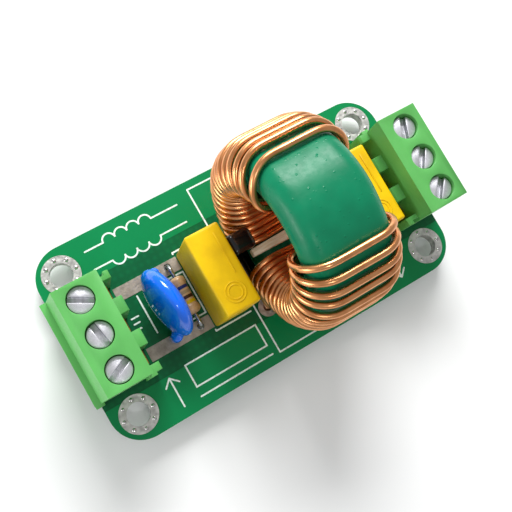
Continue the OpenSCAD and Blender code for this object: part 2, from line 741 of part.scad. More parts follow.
// Round tube along a path of [point, side direction] pairs
module tube(path, r, sides = 8) {
    n = len(path);
    rings = [for (i = [0 : n - 1]) let (
            t = unit(path[min(i + 1, n - 1)][0] - path[max(i - 1, 0)][0]),
            u = unit(path[i][1] - (path[i][1] * t) * t),
            v = cross(t, u))
        for (j = [0 : sides - 1])
            path[i][0] + r * (cos(360 * j / sides) * u + sin(360 * j / sides) * v)];
    walls = [for (i = [0 : n - 2], j = [0 : sides - 1]) let (
            a = i * sides + j, b = i * sides + (j + 1) % sides)
        each [[a, b + sides, b], [a, a + sides, b + sides]]];
    polyhedron(rings, concat(
        [[for (j = [0 : sides - 1]) j]],
        walls,
        [[for (j = [sides - 1 : -1 : 0]) (n - 1) * sides + j]]));
}

module choke_winding(s) {
    color("#c98550") tube(winding_path(s), wire_r);
}

// Pale strip wedged between the two windings in the bore
module choke_divider() {
    z0 = choke_z - sqrt(core_ri * core_ri - 1) ;
    color("#d8c795") translate([choke_x, 0, z0 + 0.05]) linear_extrude(1.5)
        polygon([[-core_l / 2 - 0.6, -0.4], [-core_l / 2 - 0.6, divider_w - 0.4],
            [core_l / 2 + 0.4, divider_w], [core_l / 2 + 0.4, -0.7]]);
}

// Plate of the base under the core
module base_plate() {
    translate([core_front - base_rim, -base_w / 2]) square([core_l + 2 * base_rim, base_w]);
}

// Foot of the base under its hook
module base_foot() {
    translate([hook_front, -foot_y])
        square([core_front - hook_front, foot_y + hook_y + hook_w / 2]);
}

// Black base: a cradle under the core with a hook that reaches over the lower front turns
module choke_base() {
    color("#141216") difference() {
        union() {
            translate([0, 0, board_t]) linear_extrude(base_t + base_rim) base_plate();
            translate([0, 0, board_t]) linear_extrude(base_t) base_foot();
            translate([0, hook_y + hook_w / 2, 0]) rotate([90, 0, 0]) linear_extrude(hook_w) {
                translate([hook_front, board_t])
                    square([hook_back - hook_front, hook_z + hook_t / 2 - board_t]);
                translate([hook_front + hook_t / 2, hook_z])
                    square([hook_reach - hook_t / 2, hook_t]);
                translate([hook_front + hook_t / 2, hook_z + hook_t / 2]) circle(hook_t / 2);
            }
        }
        choke_placed() cylinder(r = core_ro + 0.05, h = core_l + 0.3, center = true, $fn = 128);
        for (p = choke_leads) translate([p[0], p[1], 0]) cylinder(d = choke_pad_d + 0.4, h = 4.4);
    }
}

// ---------------------------------------------------------------- nodes

circuit_board();
hole_plating(-1, 1);  // hole_plating_1
hole_plating(-1, -1);  // hole_plating_2
hole_plating(1, 1);  // hole_plating_3
hole_plating(1, -1);  // hole_plating_4
tinned_tracks();
choke_pads();
silkscreen();
solder_joints();
housing(-1);  // input_housing
clamp_screw(-1, 1);  // input_screw_1
clamp_screw(-1, 2);  // input_screw_2
clamp_screw(-1, 3);  // input_screw_3
rising_clamp(-1, 1);  // input_clamp_1
rising_clamp(-1, 2);  // input_clamp_2
rising_clamp(-1, 3);  // input_clamp_3
contact(-1, 1);  // input_contact_1
contact(-1, 2);  // input_contact_2
contact(-1, 3);  // input_contact_3
housing(1);  // output_housing
clamp_screw(1, 1);  // output_screw_1
clamp_screw(1, 2);  // output_screw_2
clamp_screw(1, 3);  // output_screw_3
rising_clamp(1, 1);  // output_clamp_1
rising_clamp(1, 2);  // output_clamp_2
rising_clamp(1, 3);  // output_clamp_3
contact(1, 1);  // output_contact_1
contact(1, 2);  // output_contact_2
contact(1, 3);  // output_contact_3
capacitor(cap_in_x);  // input_capacitor
capacitor_leads(cap_in_x);  // input_capacitor_leads
capacitor(cap_out_x);  // output_capacitor
capacitor_leads(cap_out_x);  // output_capacitor_leads
varistor_disc();
varistor_leads();
resistor_body();
resistor_bands();
resistor_leads();
choke_core();
choke_winding(1);  // choke_winding_a
choke_winding(-1);  // choke_winding_b
choke_divider();
choke_base();
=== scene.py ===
"""Dresses the packed mains line filter: a choke, two film capacitors, a varistor and a
discharge resistor between two screw terminal blocks on a small circuit board."""

import math
import random

import bmesh
import bpy
from bpy.props import (
    FloatProperty,
    FloatVectorProperty,
    IntProperty,
    PointerProperty,
)
from mathutils import Matrix, Vector, noise


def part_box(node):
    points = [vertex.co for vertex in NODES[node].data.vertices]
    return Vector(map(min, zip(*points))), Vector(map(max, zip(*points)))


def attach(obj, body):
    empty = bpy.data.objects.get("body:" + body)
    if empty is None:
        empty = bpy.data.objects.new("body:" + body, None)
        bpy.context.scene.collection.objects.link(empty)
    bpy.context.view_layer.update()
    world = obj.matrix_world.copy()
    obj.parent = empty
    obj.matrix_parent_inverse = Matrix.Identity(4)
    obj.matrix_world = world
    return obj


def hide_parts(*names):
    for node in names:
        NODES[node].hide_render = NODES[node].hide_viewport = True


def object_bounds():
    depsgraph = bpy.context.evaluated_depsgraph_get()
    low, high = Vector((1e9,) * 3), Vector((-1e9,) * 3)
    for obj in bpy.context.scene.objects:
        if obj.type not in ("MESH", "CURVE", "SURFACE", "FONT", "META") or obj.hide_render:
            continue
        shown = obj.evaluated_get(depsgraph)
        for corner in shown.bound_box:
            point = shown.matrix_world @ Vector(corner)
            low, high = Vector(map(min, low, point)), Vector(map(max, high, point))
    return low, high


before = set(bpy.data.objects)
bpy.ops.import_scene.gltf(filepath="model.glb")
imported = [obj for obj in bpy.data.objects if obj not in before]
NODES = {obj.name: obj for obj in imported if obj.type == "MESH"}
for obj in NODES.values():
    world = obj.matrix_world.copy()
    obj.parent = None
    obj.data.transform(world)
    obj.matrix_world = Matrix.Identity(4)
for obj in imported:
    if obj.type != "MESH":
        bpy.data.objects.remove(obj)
CAD_BOX = [list(corner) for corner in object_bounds()]
MM = 0.001
SIDES = ("input", "output")
POLES = (1, 2, 3)
HOLES = (1, 2, 3, 4)

# Kinds of node that come up often
NOISE = "ShaderNodeTexNoise"
MATH = "ShaderNodeMath"
MIX = "ShaderNodeMix"
RAMP = "ShaderNodeValToRGB"
RANGE = "ShaderNodeMapRange"
WAVE = "ShaderNodeTexWave"

bl_info = {
    "name": "Mains line filter",
    "version": (1, 0, 0),
    "blender": (4, 5, 0),
    "location": "3D View > Sidebar > Line filter",
    "description": "Builds the visible surfaces of a mains line filter board",
    "category": "Object",
}


# ------------------------------------------------------------------ small tools


def linear(code):
    """Linear colour of an sRGB hex value."""
    channels = [int(code[i : i + 2], 16) / 255 for i in (0, 2, 4)]
    return tuple(c / 12.92 if c <= 0.04045 else ((c + 0.055) / 1.055) ** 2.4 for c in channels)


def rgba(colour):
    """Four channels from a colour property or a linear triple."""
    return (colour[0], colour[1], colour[2], 1.0)


def shade(colour, *shares):
    """Darker colour: one share for all channels, or one for each."""
    return [c * share for c, share in zip(colour, shares * (3 // len(shares)))]


def grey(value):
    """Colour of one value, for ramps that carry a number."""
    return (value, value, value)


def per_mm(size):
    """Pattern scale on Object coordinates for a feature of this size in millimetres."""
    return 1.0 / (size * MM)


def bands_per_mm(size):
    """Scale of a wave pattern, which has 20 / 2 pi bands in a unit, for bands this far
    apart in millimetres."""
    return per_mm(size) * 2 * math.pi / 20


def centre(node):
    """Middle of a CAD node's box."""
    low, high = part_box(node)
    return (low + high) / 2


def new_piece(name, mesh):
    """Links a mesh to the scene as an object at the origin."""
    piece = bpy.data.objects.new(name, mesh)
    bpy.context.scene.collection.objects.link(piece)
    return piece


def plain(piece):
    """Turns a piece's evaluated result into its own mesh and drops the modifiers."""
    graph = bpy.context.evaluated_depsgraph_get()
    mesh = bpy.data.meshes.new_from_object(piece.evaluated_get(graph))
    piece.modifiers.clear()
    piece.data = mesh
    return piece


def finish_piece(piece, body, slot, material, *nodes):
    """Gives a piece its material and body, and hides the CAD nodes it stands for. The slot is not used.
    """
    piece.data.materials.clear()
    piece.data.materials.append(material)
    for face in piece.data.polygons:
        face.material_index = 0
    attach(piece, body)
    if nodes:
        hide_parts(*nodes)


def coat_nodes(material, *names):
    """Assigns a material to the slots of CAD nodes that stay as they are."""
    for name in names:
        for entry in NODES[name].material_slots:
            entry.material = material


def mesh_from(name, shape):
    """Mesh of a finished bmesh, whose faces are turned outwards first."""
    bmesh.ops.recalc_face_normals(shape, faces=shape.faces)
    mesh = bpy.data.meshes.new(name)
    shape.to_mesh(mesh)
    shape.free()
    return mesh


def merged(node):
    """Mesh of a CAD node with its loose triangles joined and flat faces dissolved."""
    mesh = NODES[node].data.copy()
    shape = bmesh.new()
    shape.from_mesh(mesh)
    bmesh.ops.remove_doubles(shape, verts=shape.verts, dist=0.002 * MM)
    flat = math.radians(0.6)
    bmesh.ops.dissolve_limit(shape, angle_limit=flat, verts=shape.verts, edges=shape.edges)
    shape.to_mesh(mesh)
    shape.free()
    return mesh


def softened(node, name, width, segments=2, angle=28):
    """Copy of a CAD node with small rounded edges, as a mould or a tool leaves them."""
    piece = new_piece(name, merged(node))
    bevel = piece.modifiers.new("Edges", "BEVEL")
    bevel.width = width * MM
    bevel.segments = segments
    bevel.limit_method = "ANGLE"
    bevel.angle_limit = math.radians(angle)
    plain(piece)
    shade_by_angle(piece.data, 32)
    return piece


def one_skin(piece, voxel, rounds):
    """Fuses a piece's parts into one skin and rounds it, as a dip or a worn mould does."""
    skin = piece.modifiers.new("One skin", "REMESH")
    skin.mode = "VOXEL"
    skin.voxel_size = voxel * MM
    ease = piece.modifiers.new("Ease", "SMOOTH")
    ease.factor = 0.6
    ease.iterations = rounds
    plain(piece)
    for face in piece.data.polygons:
        face.use_smooth = True
    return piece


def shade_by_angle(mesh, degrees):
    """Smooth shading that keeps edges sharper than the angle."""
    shape = bmesh.new()
    shape.from_mesh(mesh)
    limit = math.radians(degrees)
    for face in shape.faces:
        face.smooth = True
    for edge in shape.edges:
        edge.smooth = len(edge.link_faces) == 2 and edge.calc_face_angle(0) < limit
    shape.to_mesh(mesh)
    shape.free()


def lathe(name, profile, place, segments=96):
    """Closed shape of revolution about local Z. The profile is a list of (radius, height)
    that starts and ends on the axis, or a ring of points away from it."""
    shape = bmesh.new()
    on_axis = 1e-9
    rows = []
    for radius, height in profile:
        count = 1 if radius < on_axis else segments
        angles = [2 * math.pi * i / segments for i in range(count)]
        spots = [(radius * math.cos(a), radius * math.sin(a), height) for a in angles]
        rows.append([shape.verts.new(spot) for spot in spots])
    pairs = list(zip(rows, rows[1:]))
    if profile[0][0] > on_axis:
        pairs.append((rows[-1], rows[0]))
    for low, high in pairs:
        for i in range(segments):
            j = (i + 1) % segments
            corners = [low[i % len(low)], low[j % len(low)]]
            corners += [high[j % len(high)], high[i % len(high)]]
            shape.faces.new(list(dict.fromkeys(corners)))
    mesh = mesh_from(name, shape)
    mesh.transform(place)
    for face in mesh.polygons:
        face.use_smooth = True
    return new_piece(name, mesh)


def joined(name, pieces):
    """One object from several meshes."""
    shape = bmesh.new()
    for piece in pieces:
        shape.from_mesh(piece.data)
        bpy.data.objects.remove(piece)
    mesh = bpy.data.meshes.new(name)
    shape.to_mesh(mesh)
    shape.free()
    return new_piece(name, mesh)


def add(tree, kind, inputs=None, stops=(), steps=False, **settings):
    """Adds a node and returns its outputs. Settings are its own properties. Inputs are
    filled by name or number: a socket becomes a link, anything else a value. Stops are the
    (place, colour) pairs of a colour ramp, which steps makes constant in between."""
    node = tree.nodes.new(kind)
    for key, value in settings.items():
        setattr(node, key, value)
    for key, value in (inputs or {}).items():
        if isinstance(value, bpy.types.NodeSocket):
            tree.links.new(value, node.inputs[key])
        else:
            node.inputs[key].default_value = value
    if stops:
        entries = node.color_ramp.elements
        node.color_ramp.interpolation = "CONSTANT" if steps else "LINEAR"
        while len(entries) < len(stops):
            entries.new(1.0)
        for entry, (place, colour) in zip(entries, stops):
            entry.position = place
            entry.color = rgba(colour)
    return node.outputs


def begin(name, **values):
    """New material with values on its Principled shader; returns the material, its tree
    and the Object coordinates."""
    material = bpy.data.materials.new(name)
    material.use_nodes = True
    tree = material.node_tree
    shader = tree.nodes["Principled BSDF"]
    for key, value in values.items():
        shader.inputs[key.replace("_", " ")].default_value = value
    return material, tree, add(tree, "ShaderNodeTexCoord")["Object"]


def cover(tree, height, depth, strength, **sockets):
    """Joins patterns to the inputs of the material's shader, and a height pattern as its
    relief, of this depth in millimetres."""
    relief = {"Height": height, "Distance": depth * MM, "Strength": strength}
    sockets["Normal"] = add(tree, "ShaderNodeBump", relief)["Normal"]
    shader = tree.nodes["Principled BSDF"]
    for key, socket in sockets.items():
        tree.links.new(socket, shader.inputs[key.replace("_", " ")])


# ------------------------------------------------------------------ settings


def colour(name, code, about):
    """Colour property with its sRGB default."""
    limits = {"size": 3, "min": 0.0, "max": 1.0}
    tint = linear(code)
    return FloatVectorProperty(
        name=name, description=about, subtype="COLOR", default=tint, **limits
    )


def length(name, size, about, low=0.0, high=100.0):
    """Length property, given in millimetres and kept in metres."""
    size, low, high = size * MM, low * MM, high * MM
    return FloatProperty(
        name=name, description=about, unit="LENGTH", default=size, min=low, max=high
    )


class LINEFILTER_PG_board(bpy.types.PropertyGroup):
    """Circuit board"""

    mask: colour("Mask over copper", "01834a", "Solder mask where copper lies under it")
    bare: colour("Mask over laminate", "025a33", "Solder mask over bare laminate")
    edge: colour("Laminate", "4f8a55", "Sawn edge of the glass laminate")
    ink: colour("Ink", "e9f5ee", "Printed legend")
    tin: colour("Tinned copper", "b3a89c", "Levelled solder on copper")
    live_in: length("Live track, inner edge", 3.95, "Start of the live copper from the middle line")
    live_out: length("Live track, outer edge", 6.05, "End of the live copper from the middle line")
    pour: length("Earth copper", 8.9, "Start of the earth copper from the middle line")
    dome: length("Via dome", 0.62, "Diameter of a solder dome on a via")
    ring: length("Via ring", 2.325, "Radius of the ring of vias round a mounting hole")


class LINEFILTER_PG_blocks(bpy.types.PropertyGroup):
    """Terminal blocks"""

    plastic: colour("Plastic", "5fb25c", "Moulded block")
    steel: colour("Screw", "dad9e0", "Zinc plated screw")
    brass: colour("Contact", "cf8640", "Contact strip")
    edge: length("Edge radius", 0.12, "Rounded edge of the moulding")
    turning: length("Turning marks", 0.16, "Distance between the marks on a screw head")


class LINEFILTER_PG_choke(bpy.types.PropertyGroup):
    """Choke"""

    coat: colour("Core coat", "0a7c56", "Coated ferrite ring")
    copper: colour("Wire", "e9ac77", "Enamelled copper wire")
    wire: length("Wire diameter", 1.0, "Diameter of the enamelled wire")
    bore: length("Bore radius", 7.4, "Inner radius of the coated ring")
    edge: length("Core edge radius", 2.85, "Radius on the edges of the ring")
    slack: length("Face slack", 0.3, "How far the wires stand off the faces")
    flare: length("Front flare", 0.8, "Extra distance of the lower front turns")
    turns_a: IntProperty(name="Turns, +Y", description="Turns of winding a", default=17, min=7)
    turns_b: IntProperty(name="Turns, -Y", description="Turns of winding b", default=16, min=7)
    sides: IntProperty(name="Wire sides", description="Sides of the wire", default=14, min=6)
    step: length("Wire step", 0.3, "Distance between rings along the wire", 0.1)
    seed: IntProperty(name="Seed", description="Lay of the turns", default=4)


class LINEFILTER_PG_parts(bpy.types.PropertyGroup):
    """Small parts"""

    box: colour("Capacitor box", "eac102", "Moulded capacitor box")
    epoxy: colour("Varistor coat", "006ffc", "Dipped varistor")
    lacquer: colour("Resistor lacquer", "d0a677", "Lacquer of the resistor")
    strip: colour("Divider", "fbf3da", "Strip between the windings")
    black: colour("Base", "0b0a0d", "Moulded base of the choke")
    coat: length("Varistor thickness", 3.9, "Thickness of the dipped disc")


class LINEFILTER_PG_stage(bpy.types.PropertyGroup):
    """Stage"""

    floor: colour("Floor", "f4f5f5", "Pale floor")
    sky: FloatProperty(name="Room light", description="Strength of the room", default=0.42)
    key: FloatProperty(name="Key light", description="Key light", unit="POWER", default=1.7)
    fill: FloatProperty(name="Fill light", description="Fill light", unit="POWER", default=0.45)
    lens: FloatProperty(name="Lens", description="Focal length", subtype="DISTANCE_CAMERA", default=54.79)


# ------------------------------------------------------------------ materials
# Inputs 6 and 7 of a Mix node are its two colours and output 2 is the mixed one. A Map
# Range node's inputs 1 and 2 are where its pattern starts and ends, 3 and 4 the results.


def make_board_mask(settings):
    # Photo-imaged epoxy solder mask on glass laminate: satin, with a soft orange peel.
    # Copper under it shines through lighter than the bare laminate.
    material, tree, place = begin(
        "solder_mask_on_laminate", Roughness=0.3, IOR=1.52, Specular_IOR_Level=0.22
    )
    y = add(tree, "ShaderNodeSeparateXYZ", {0: place})["Y"]
    side = add(tree, MATH, {0: y}, operation="ABSOLUTE")[0]
    span = 20 * MM
    reach = add(tree, MATH, {0: side, 1: span}, operation="DIVIDE")[0]
    bars = [(0.0, grey(0)), (settings.live_in / span, grey(0.55))]
    bars += [(settings.live_out / span, grey(0)), (settings.pour / span, grey(1))]
    copper = add(tree, RAMP, {"Fac": reach}, bars, steps=True)["Color"]
    cloud = add(tree, NOISE, {"Vector": place, "Scale": per_mm(9), "Detail": 3.0})["Fac"]
    # Glass weave, 0.5 mm from thread to thread, drawn about twice as coarse so that it shows
    weave = {"Vector": place, "Scale": bands_per_mm(1.123), "Distortion": 0.6}
    warp = add(tree, WAVE, weave, bands_direction="X")["Fac"]
    weft = add(tree, WAVE, weave, bands_direction="Y")["Fac"]
    knots = add(tree, MATH, {0: warp, 1: weft}, operation="MULTIPLY")[0]
    threads = {"Factor": knots, 6: rgba(settings.bare), 7: rgba(shade(settings.bare, 1.22))}
    dark = add(tree, MIX, threads, data_type="RGBA")[2]
    clouds = {"Factor": cloud, 6: rgba(shade(settings.mask, 0.86)), 7: rgba(settings.mask)}
    light = add(tree, MIX, clouds, data_type="RGBA")[2]
    both = add(tree, MIX, {"Factor": copper, 6: dark, 7: light}, data_type="RGBA")[2]
    # The sawn edge shows the pale laminate in thin layers
    normal = add(tree, "ShaderNodeTexCoord")["Normal"]
    up = add(tree, "ShaderNodeSeparateXYZ", {0: normal})["Z"]
    steep = add(tree, MATH, {0: up}, operation="ABSOLUTE")[0]
    flat = add(tree, MATH, {0: steep, 1: 0.5}, operation="GREATER_THAN")[0]
    sawn = {"Vector": place, "Scale": bands_per_mm(0.4084), "Distortion": 1.5, "Detail Scale": 3.0}
    layers = add(tree, WAVE, sawn, bands_direction="Z")["Fac"]
    glass = {"Factor": layers, 6: rgba(shade(settings.edge, 0.6)), 7: rgba(settings.edge)}
    cut = add(tree, MIX, glass, data_type="RGBA")[2]
    final = add(tree, MIX, {"Factor": flat, 6: cut, 7: both}, data_type="RGBA")[2]
    peel = add(tree, NOISE, {"Vector": place, "Scale": per_mm(1.1), "Detail": 2.0})["Fac"]
    height = add(tree, MATH, {0: peel, 1: 0.18, 2: copper}, operation="MULTIPLY_ADD")[0]
    cover(tree, height, 0.05, 0.7, Base_Color=final)
    return material


def make_ink(settings):
    # Epoxy legend ink: matt white, a little thin and speckled where the screen left it
    material, tree, place = begin("legend_ink", Roughness=0.62, IOR=1.5)
    speck = add(tree, NOISE, {"Vector": place, "Scale": per_mm(0.35), "Detail": 4.0})["Fac"]
    stops = [(0.34, shade(settings.ink, 0.72)), (0.5, settings.ink)]
    white = add(tree, RAMP, {"Fac": speck}, stops)["Color"]
    cover(tree, speck, 0.02, 0.5, Base_Color=white)
    return material


def make_tin(name, tint, roughness, lumps, depth):
    # Solder levelled by hot air over copper: grey metal with soft dull lumps and grain
    material, tree, place = begin(name, Metallic=1.0, Roughness=roughness)
    broad = add(tree, NOISE, {"Vector": place, "Scale": per_mm(lumps), "Detail": 3.0})["Fac"]
    grain = add(tree, NOISE, {"Vector": place, "Scale": per_mm(0.25), "Detail": 2.0})["Fac"]
    stops = [(0.3, shade(tint, 0.62)), (0.62, tint)]
    metal = add(tree, RAMP, {"Fac": broad}, stops)["Color"]
    dull = {0: grain, 1: 0.3, 2: 0.7, 3: roughness * 0.75, 4: roughness * 1.3}
    wear = add(tree, RANGE, dull)[0]
    height = add(tree, MATH, {0: grain, 1: 0.3, 2: broad}, operation="MULTIPLY_ADD")[0]
    cover(tree, height, depth, 0.8, Base_Color=metal, Roughness=wear)
    return material


def make_moulded(name, tint, shares, flow, grain, gloss, relief, **values):
    # Moulded plastic: the flow of the melt shows faintly in its colour, and the grain of
    # the tool in its gloss and relief. Flow and grain are size, detail, start and end of
    # the pattern; gloss is the roughness at the grain's start and end.
    material, tree, place = begin(name, **values)
    broad, fine = [
        add(tree, NOISE, {"Vector": place, "Scale": per_mm(size), "Detail": detail})["Fac"]
        for size, detail, *_ in (flow, grain)
    ]
    stops = [(flow[2], shade(tint, *shares)), (flow[3], tint)]
    melt = add(tree, RAMP, {"Fac": broad}, stops)["Color"]
    ends = {0: fine, 1: grain[2], 2: grain[3], 3: gloss[0], 4: gloss[1]}
    wear = add(tree, RANGE, ends)[0]
    cover(tree, fine, *relief, Base_Color=melt, Roughness=wear)
    return material


def make_block_plastic(settings):
    # Injection moulded polyamide: satin, a fine spark-eroded grain, light glows a little
    # through the thin walls
    glow = {"Subsurface_Weight": 0.12, "Subsurface_Scale": 0.8 * MM}
    glow["Subsurface_Radius"] = (0.5, 1.0, 0.35)
    flow, grain = (6, 3.0, 0.35, 0.65), (0.22, 2.0, 0.3, 0.7)
    look = ([0.88], flow, grain, (0.36, 0.5), (0.018, 0.6))
    return make_moulded(
        "moulded_polyamide", settings.plastic, *look, Specular_IOR_Level=0.35, **glow
    )


def make_screw_steel(settings):
    # Zinc plated steel, turned: pale blue-grey, fine rings round the head, small scuffs
    material, tree, place = begin("zinc_plated_steel", Metallic=1.0, Roughness=0.45)
    head = add(tree, "ShaderNodeUVMap", uv_map="head_mm")["UV"]
    from_axis = add(tree, "ShaderNodeVectorMath", {0: head}, operation="LENGTH")["Value"]
    wobble = add(tree, NOISE, {"Vector": place, "Scale": per_mm(0.8), "Detail": 3.0})["Fac"]
    bent = {0: wobble, 1: 0.12, 2: from_axis}
    shifted = add(tree, MATH, bent, operation="MULTIPLY_ADD")[0]
    marks = 2 * math.pi * MM / settings.turning
    turns = add(tree, MATH, {0: shifted, 1: marks}, operation="MULTIPLY")[0]
    rings = add(tree, MATH, {0: turns}, operation="SINE")[0]
    scuff = add(tree, NOISE, {"Vector": place, "Scale": per_mm(0.5), "Detail": 4.0})["Fac"]
    stops = [(0.32, shade(settings.steel, 0.8)), (0.55, settings.steel)]
    zinc = add(tree, RAMP, {"Fac": scuff}, stops)["Color"]
    wear = add(tree, RANGE, {0: scuff, 1: 0.3, 2: 0.6, 3: 0.6, 4: 0.42})[0]
    height = add(tree, MATH, {0: rings, 1: 0.25, 2: scuff}, operation="MULTIPLY_ADD")[0]
    cover(tree, height, 0.03, 0.6, Base_Color=zinc, Roughness=wear)
    return material


def make_metal(name, tint, roughness, spots):
    # Drawn or stamped sheet metal: soft draw lines, coarser than real ones so that they
    # show, with tarnish in spots
    material, tree, place = begin(name, Metallic=1.0, Roughness=roughness)
    stain = add(tree, NOISE, {"Vector": place, "Scale": per_mm(spots), "Detail": 3.0})["Fac"]
    stops = [(0.3, shade(tint, 0.6)), (0.6, tint)]
    metal = add(tree, RAMP, {"Fac": stain}, stops)["Color"]
    drawn = {"Vector": place, "Scale": bands_per_mm(0.3063), "Distortion": 4.0}
    lines = add(tree, WAVE, drawn, bands_direction="DIAGONAL")["Fac"]
    dull = {0: lines, 1: 0.0, 2: 1.0, 3: roughness * 0.8, 4: roughness * 1.25}
    wear = add(tree, RANGE, dull)[0]
    cover(tree, lines, 0.008, 0.5, Base_Color=metal, Roughness=wear)
    return material


def make_capacitor_box(settings):
    # Moulded flame-retardant polyester: satin yellow with a fine grain and faint flow
    flow, grain = (3.5, 4.0, 0.3, 0.6), (0.3, 2.0, 0.3, 0.7)
    look = ([0.84, 0.8, 1.0], flow, grain, (0.34, 0.5), (0.02, 0.7))
    return make_moulded("moulded_polyester_box", settings.box, *look, Specular_IOR_Level=0.25)


def make_dipped(name, tint, roughness, waves, depth, deep, nibs=0.0, **values):
    # Dipped and cured resin: thick, its surface in soft waves, its gloss a little uneven.
    # Dust nibs under it stand up as small domes that catch the light as dots.
    material, tree, place = begin(
        name, Roughness=roughness, IOR=1.55, Coat_Roughness=0.05, **values
    )
    soft = {"Vector": place, "Scale": per_mm(waves), "Detail": 1.5}
    broad = add(tree, NOISE, soft)["Fac"]
    stops = [(0.3, shade(tint, deep)), (0.65, tint)]
    resin = add(tree, RAMP, {"Fac": broad}, stops)["Color"]
    small = {"Vector": place, "Scale": per_mm(waves * 0.22), "Detail": 2.0}
    fine = add(tree, NOISE, small)["Fac"]
    gloss = {0: fine, 1: 0.35, 2: 0.6, 3: roughness * 1.15, 4: roughness * 0.92}
    wear = add(tree, RANGE, gloss)[0]
    height = add(tree, MATH, {0: fine, 1: 0.18, 2: broad}, operation="MULTIPLY_ADD")[0]
    if nibs:
        spots = add(tree, "ShaderNodeTexVoronoi", {"Vector": place, "Scale": per_mm(0.9)})["Distance"]
        dome = add(tree, RANGE, {0: spots, 1: 0.0, 2: 0.2, 3: 1.0, 4: 0.0})[0]
        raised = {0: dome, 1: nibs, 2: height}
        height = add(tree, MATH, raised, operation="MULTIPLY_ADD")[0]
        polish = {0: dome, 1: -0.7 * roughness, 2: wear}
        wear = add(tree, MATH, polish, operation="MULTIPLY_ADD")[0]
    cover(tree, height, depth, 0.8, Base_Color=resin, Roughness=wear)
    return material


def make_enamelled_copper(settings):
    # Round copper wire under clear amber enamel: warm metal, darker where the enamel lies
    # thick, with faint bright and dull stretches along the wire from winding it by hand
    material, tree, place = begin(
        "enamelled_copper",
        Metallic=1.0,
        Roughness=0.3,
        Coat_Weight=0.35,
        Coat_Roughness=0.12,
        Coat_Tint=rgba(linear("ffdcb8")),
    )
    along = add(tree, "ShaderNodeAttribute", attribute_name="along_mm")["Fac"]
    hand = {"W": along, "Scale": 0.35, "Detail": 3.0}
    stretch = add(tree, NOISE, hand, noise_dimensions="1D")["Fac"]
    patch = add(tree, NOISE, {"Vector": place, "Scale": per_mm(4), "Detail": 3.0})["Fac"]
    mixed = add(tree, MATH, {0: stretch, 1: patch}, operation="ADD")[0]
    half = add(tree, MATH, {0: mixed, 1: 0.5}, operation="MULTIPLY")[0]
    stops = [(0.36, shade(settings.copper, 0.78, 0.68, 0.6)), (0.56, settings.copper)]
    amber = add(tree, RAMP, {"Fac": half}, stops)["Color"]
    wear = add(tree, RANGE, {0: patch, 1: 0.3, 2: 0.65, 3: 0.4, 4: 0.22})[0]
    scrape = add(tree, NOISE, {"Vector": place, "Scale": per_mm(0.5), "Detail": 3.0})["Fac"]
    cover(tree, scrape, 0.01, 0.5, Base_Color=amber, Roughness=wear)
    return material


def make_divider(settings):
    # Split bamboo or pressed board: pale, with long fibres along the strip
    material, tree, place = begin("split_bamboo", Roughness=0.6, IOR=1.5)
    long = add(tree, "ShaderNodeMapping", {"Vector": place, "Scale": (0.12, 1.0, 1.0)})["Vector"]
    fibre = add(tree, NOISE, {"Vector": long, "Scale": per_mm(0.25), "Detail": 4.0})["Fac"]
    stops = [(0.3, shade(settings.strip, 0.82, 0.74, 0.6)), (0.55, settings.strip)]
    pale = add(tree, RAMP, {"Fac": fibre}, stops)["Color"]
    cover(tree, fibre, 0.05, 0.8, Base_Color=pale)
    return material


def make_black(settings):
    # Moulded black plastic, glossy, with faint paler flow waves that also carry the gloss
    paler = 2.2
    flow, grain = (1.6, 2.0, 0.35, 0.7), (1.6, 2.0, 0.3, 0.7)
    look = ([1 / paler], flow, grain, (0.24, 0.1), (0.06, 0.6))
    gloss = {"IOR": 1.5, "Coat_Weight": 0.2, "Coat_Roughness": 0.06}
    tint = shade(settings.black, paler)
    return make_moulded("glossy_black_moulding", tint, *look, **gloss)


def make_bands():
    # Rings of enamel paint on the resistor: gold, dark brown, grey-brown and blue from
    # its -Y end, one ring every 0.8 mm
    material, tree, place = begin("painted_rings", Roughness=0.3, IOR=1.5)
    low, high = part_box("resistor_bands")
    span = high.y - low.y
    y = add(tree, "ShaderNodeSeparateXYZ", {0: place})["Y"]
    from_low = add(tree, MATH, {0: y, 1: low.y}, operation="SUBTRACT")[0]
    share = add(tree, MATH, {0: from_low, 1: span}, operation="DIVIDE")[0]
    paints = ["c9a400", "3a1c12", "9a8360", "17265f"]
    # The paint changes in the gap before each ring: this share of the whole before it
    ahead = 0.06
    starts = [k * 0.8 * MM / span - (ahead if k else 0) for k in range(len(paints))]
    stops = list(zip(starts, map(linear, paints)))
    paint = add(tree, RAMP, {"Fac": share}, stops, steps=True)["Color"]
    fine = add(tree, NOISE, {"Vector": place, "Scale": per_mm(0.3), "Detail": 2.0})["Fac"]
    cover(tree, fine, 0.02, 0.5, Base_Color=paint)
    return material


# ------------------------------------------------------------------ board


def new_tree(name, inputs, output):
    """Geometry Nodes tree with named inputs and one geometry output; returns the tree and
    the sockets that give its inputs."""
    tree = bpy.data.node_groups.new(name, "GeometryNodeTree")
    for label, kind in inputs.items():
        tree.interface.new_socket(label, in_out="INPUT", socket_type=f"NodeSocket{kind}")
    tree.interface.new_socket(output, in_out="OUTPUT", socket_type="NodeSocketGeometry")
    return tree, add(tree, "NodeGroupInput")


def run_tree(piece, tree, values):
    """Puts a Geometry Nodes tree on a piece, fills its inputs and keeps the result."""
    modifier = piece.modifiers.new("Rule", "NODES")
    modifier.node_group = tree
    for entry in tree.interface.items_tree:
        if entry.item_type == "SOCKET" and entry.name in values:
            modifier[entry.identifier] = values[entry.name]
    return plain(piece)


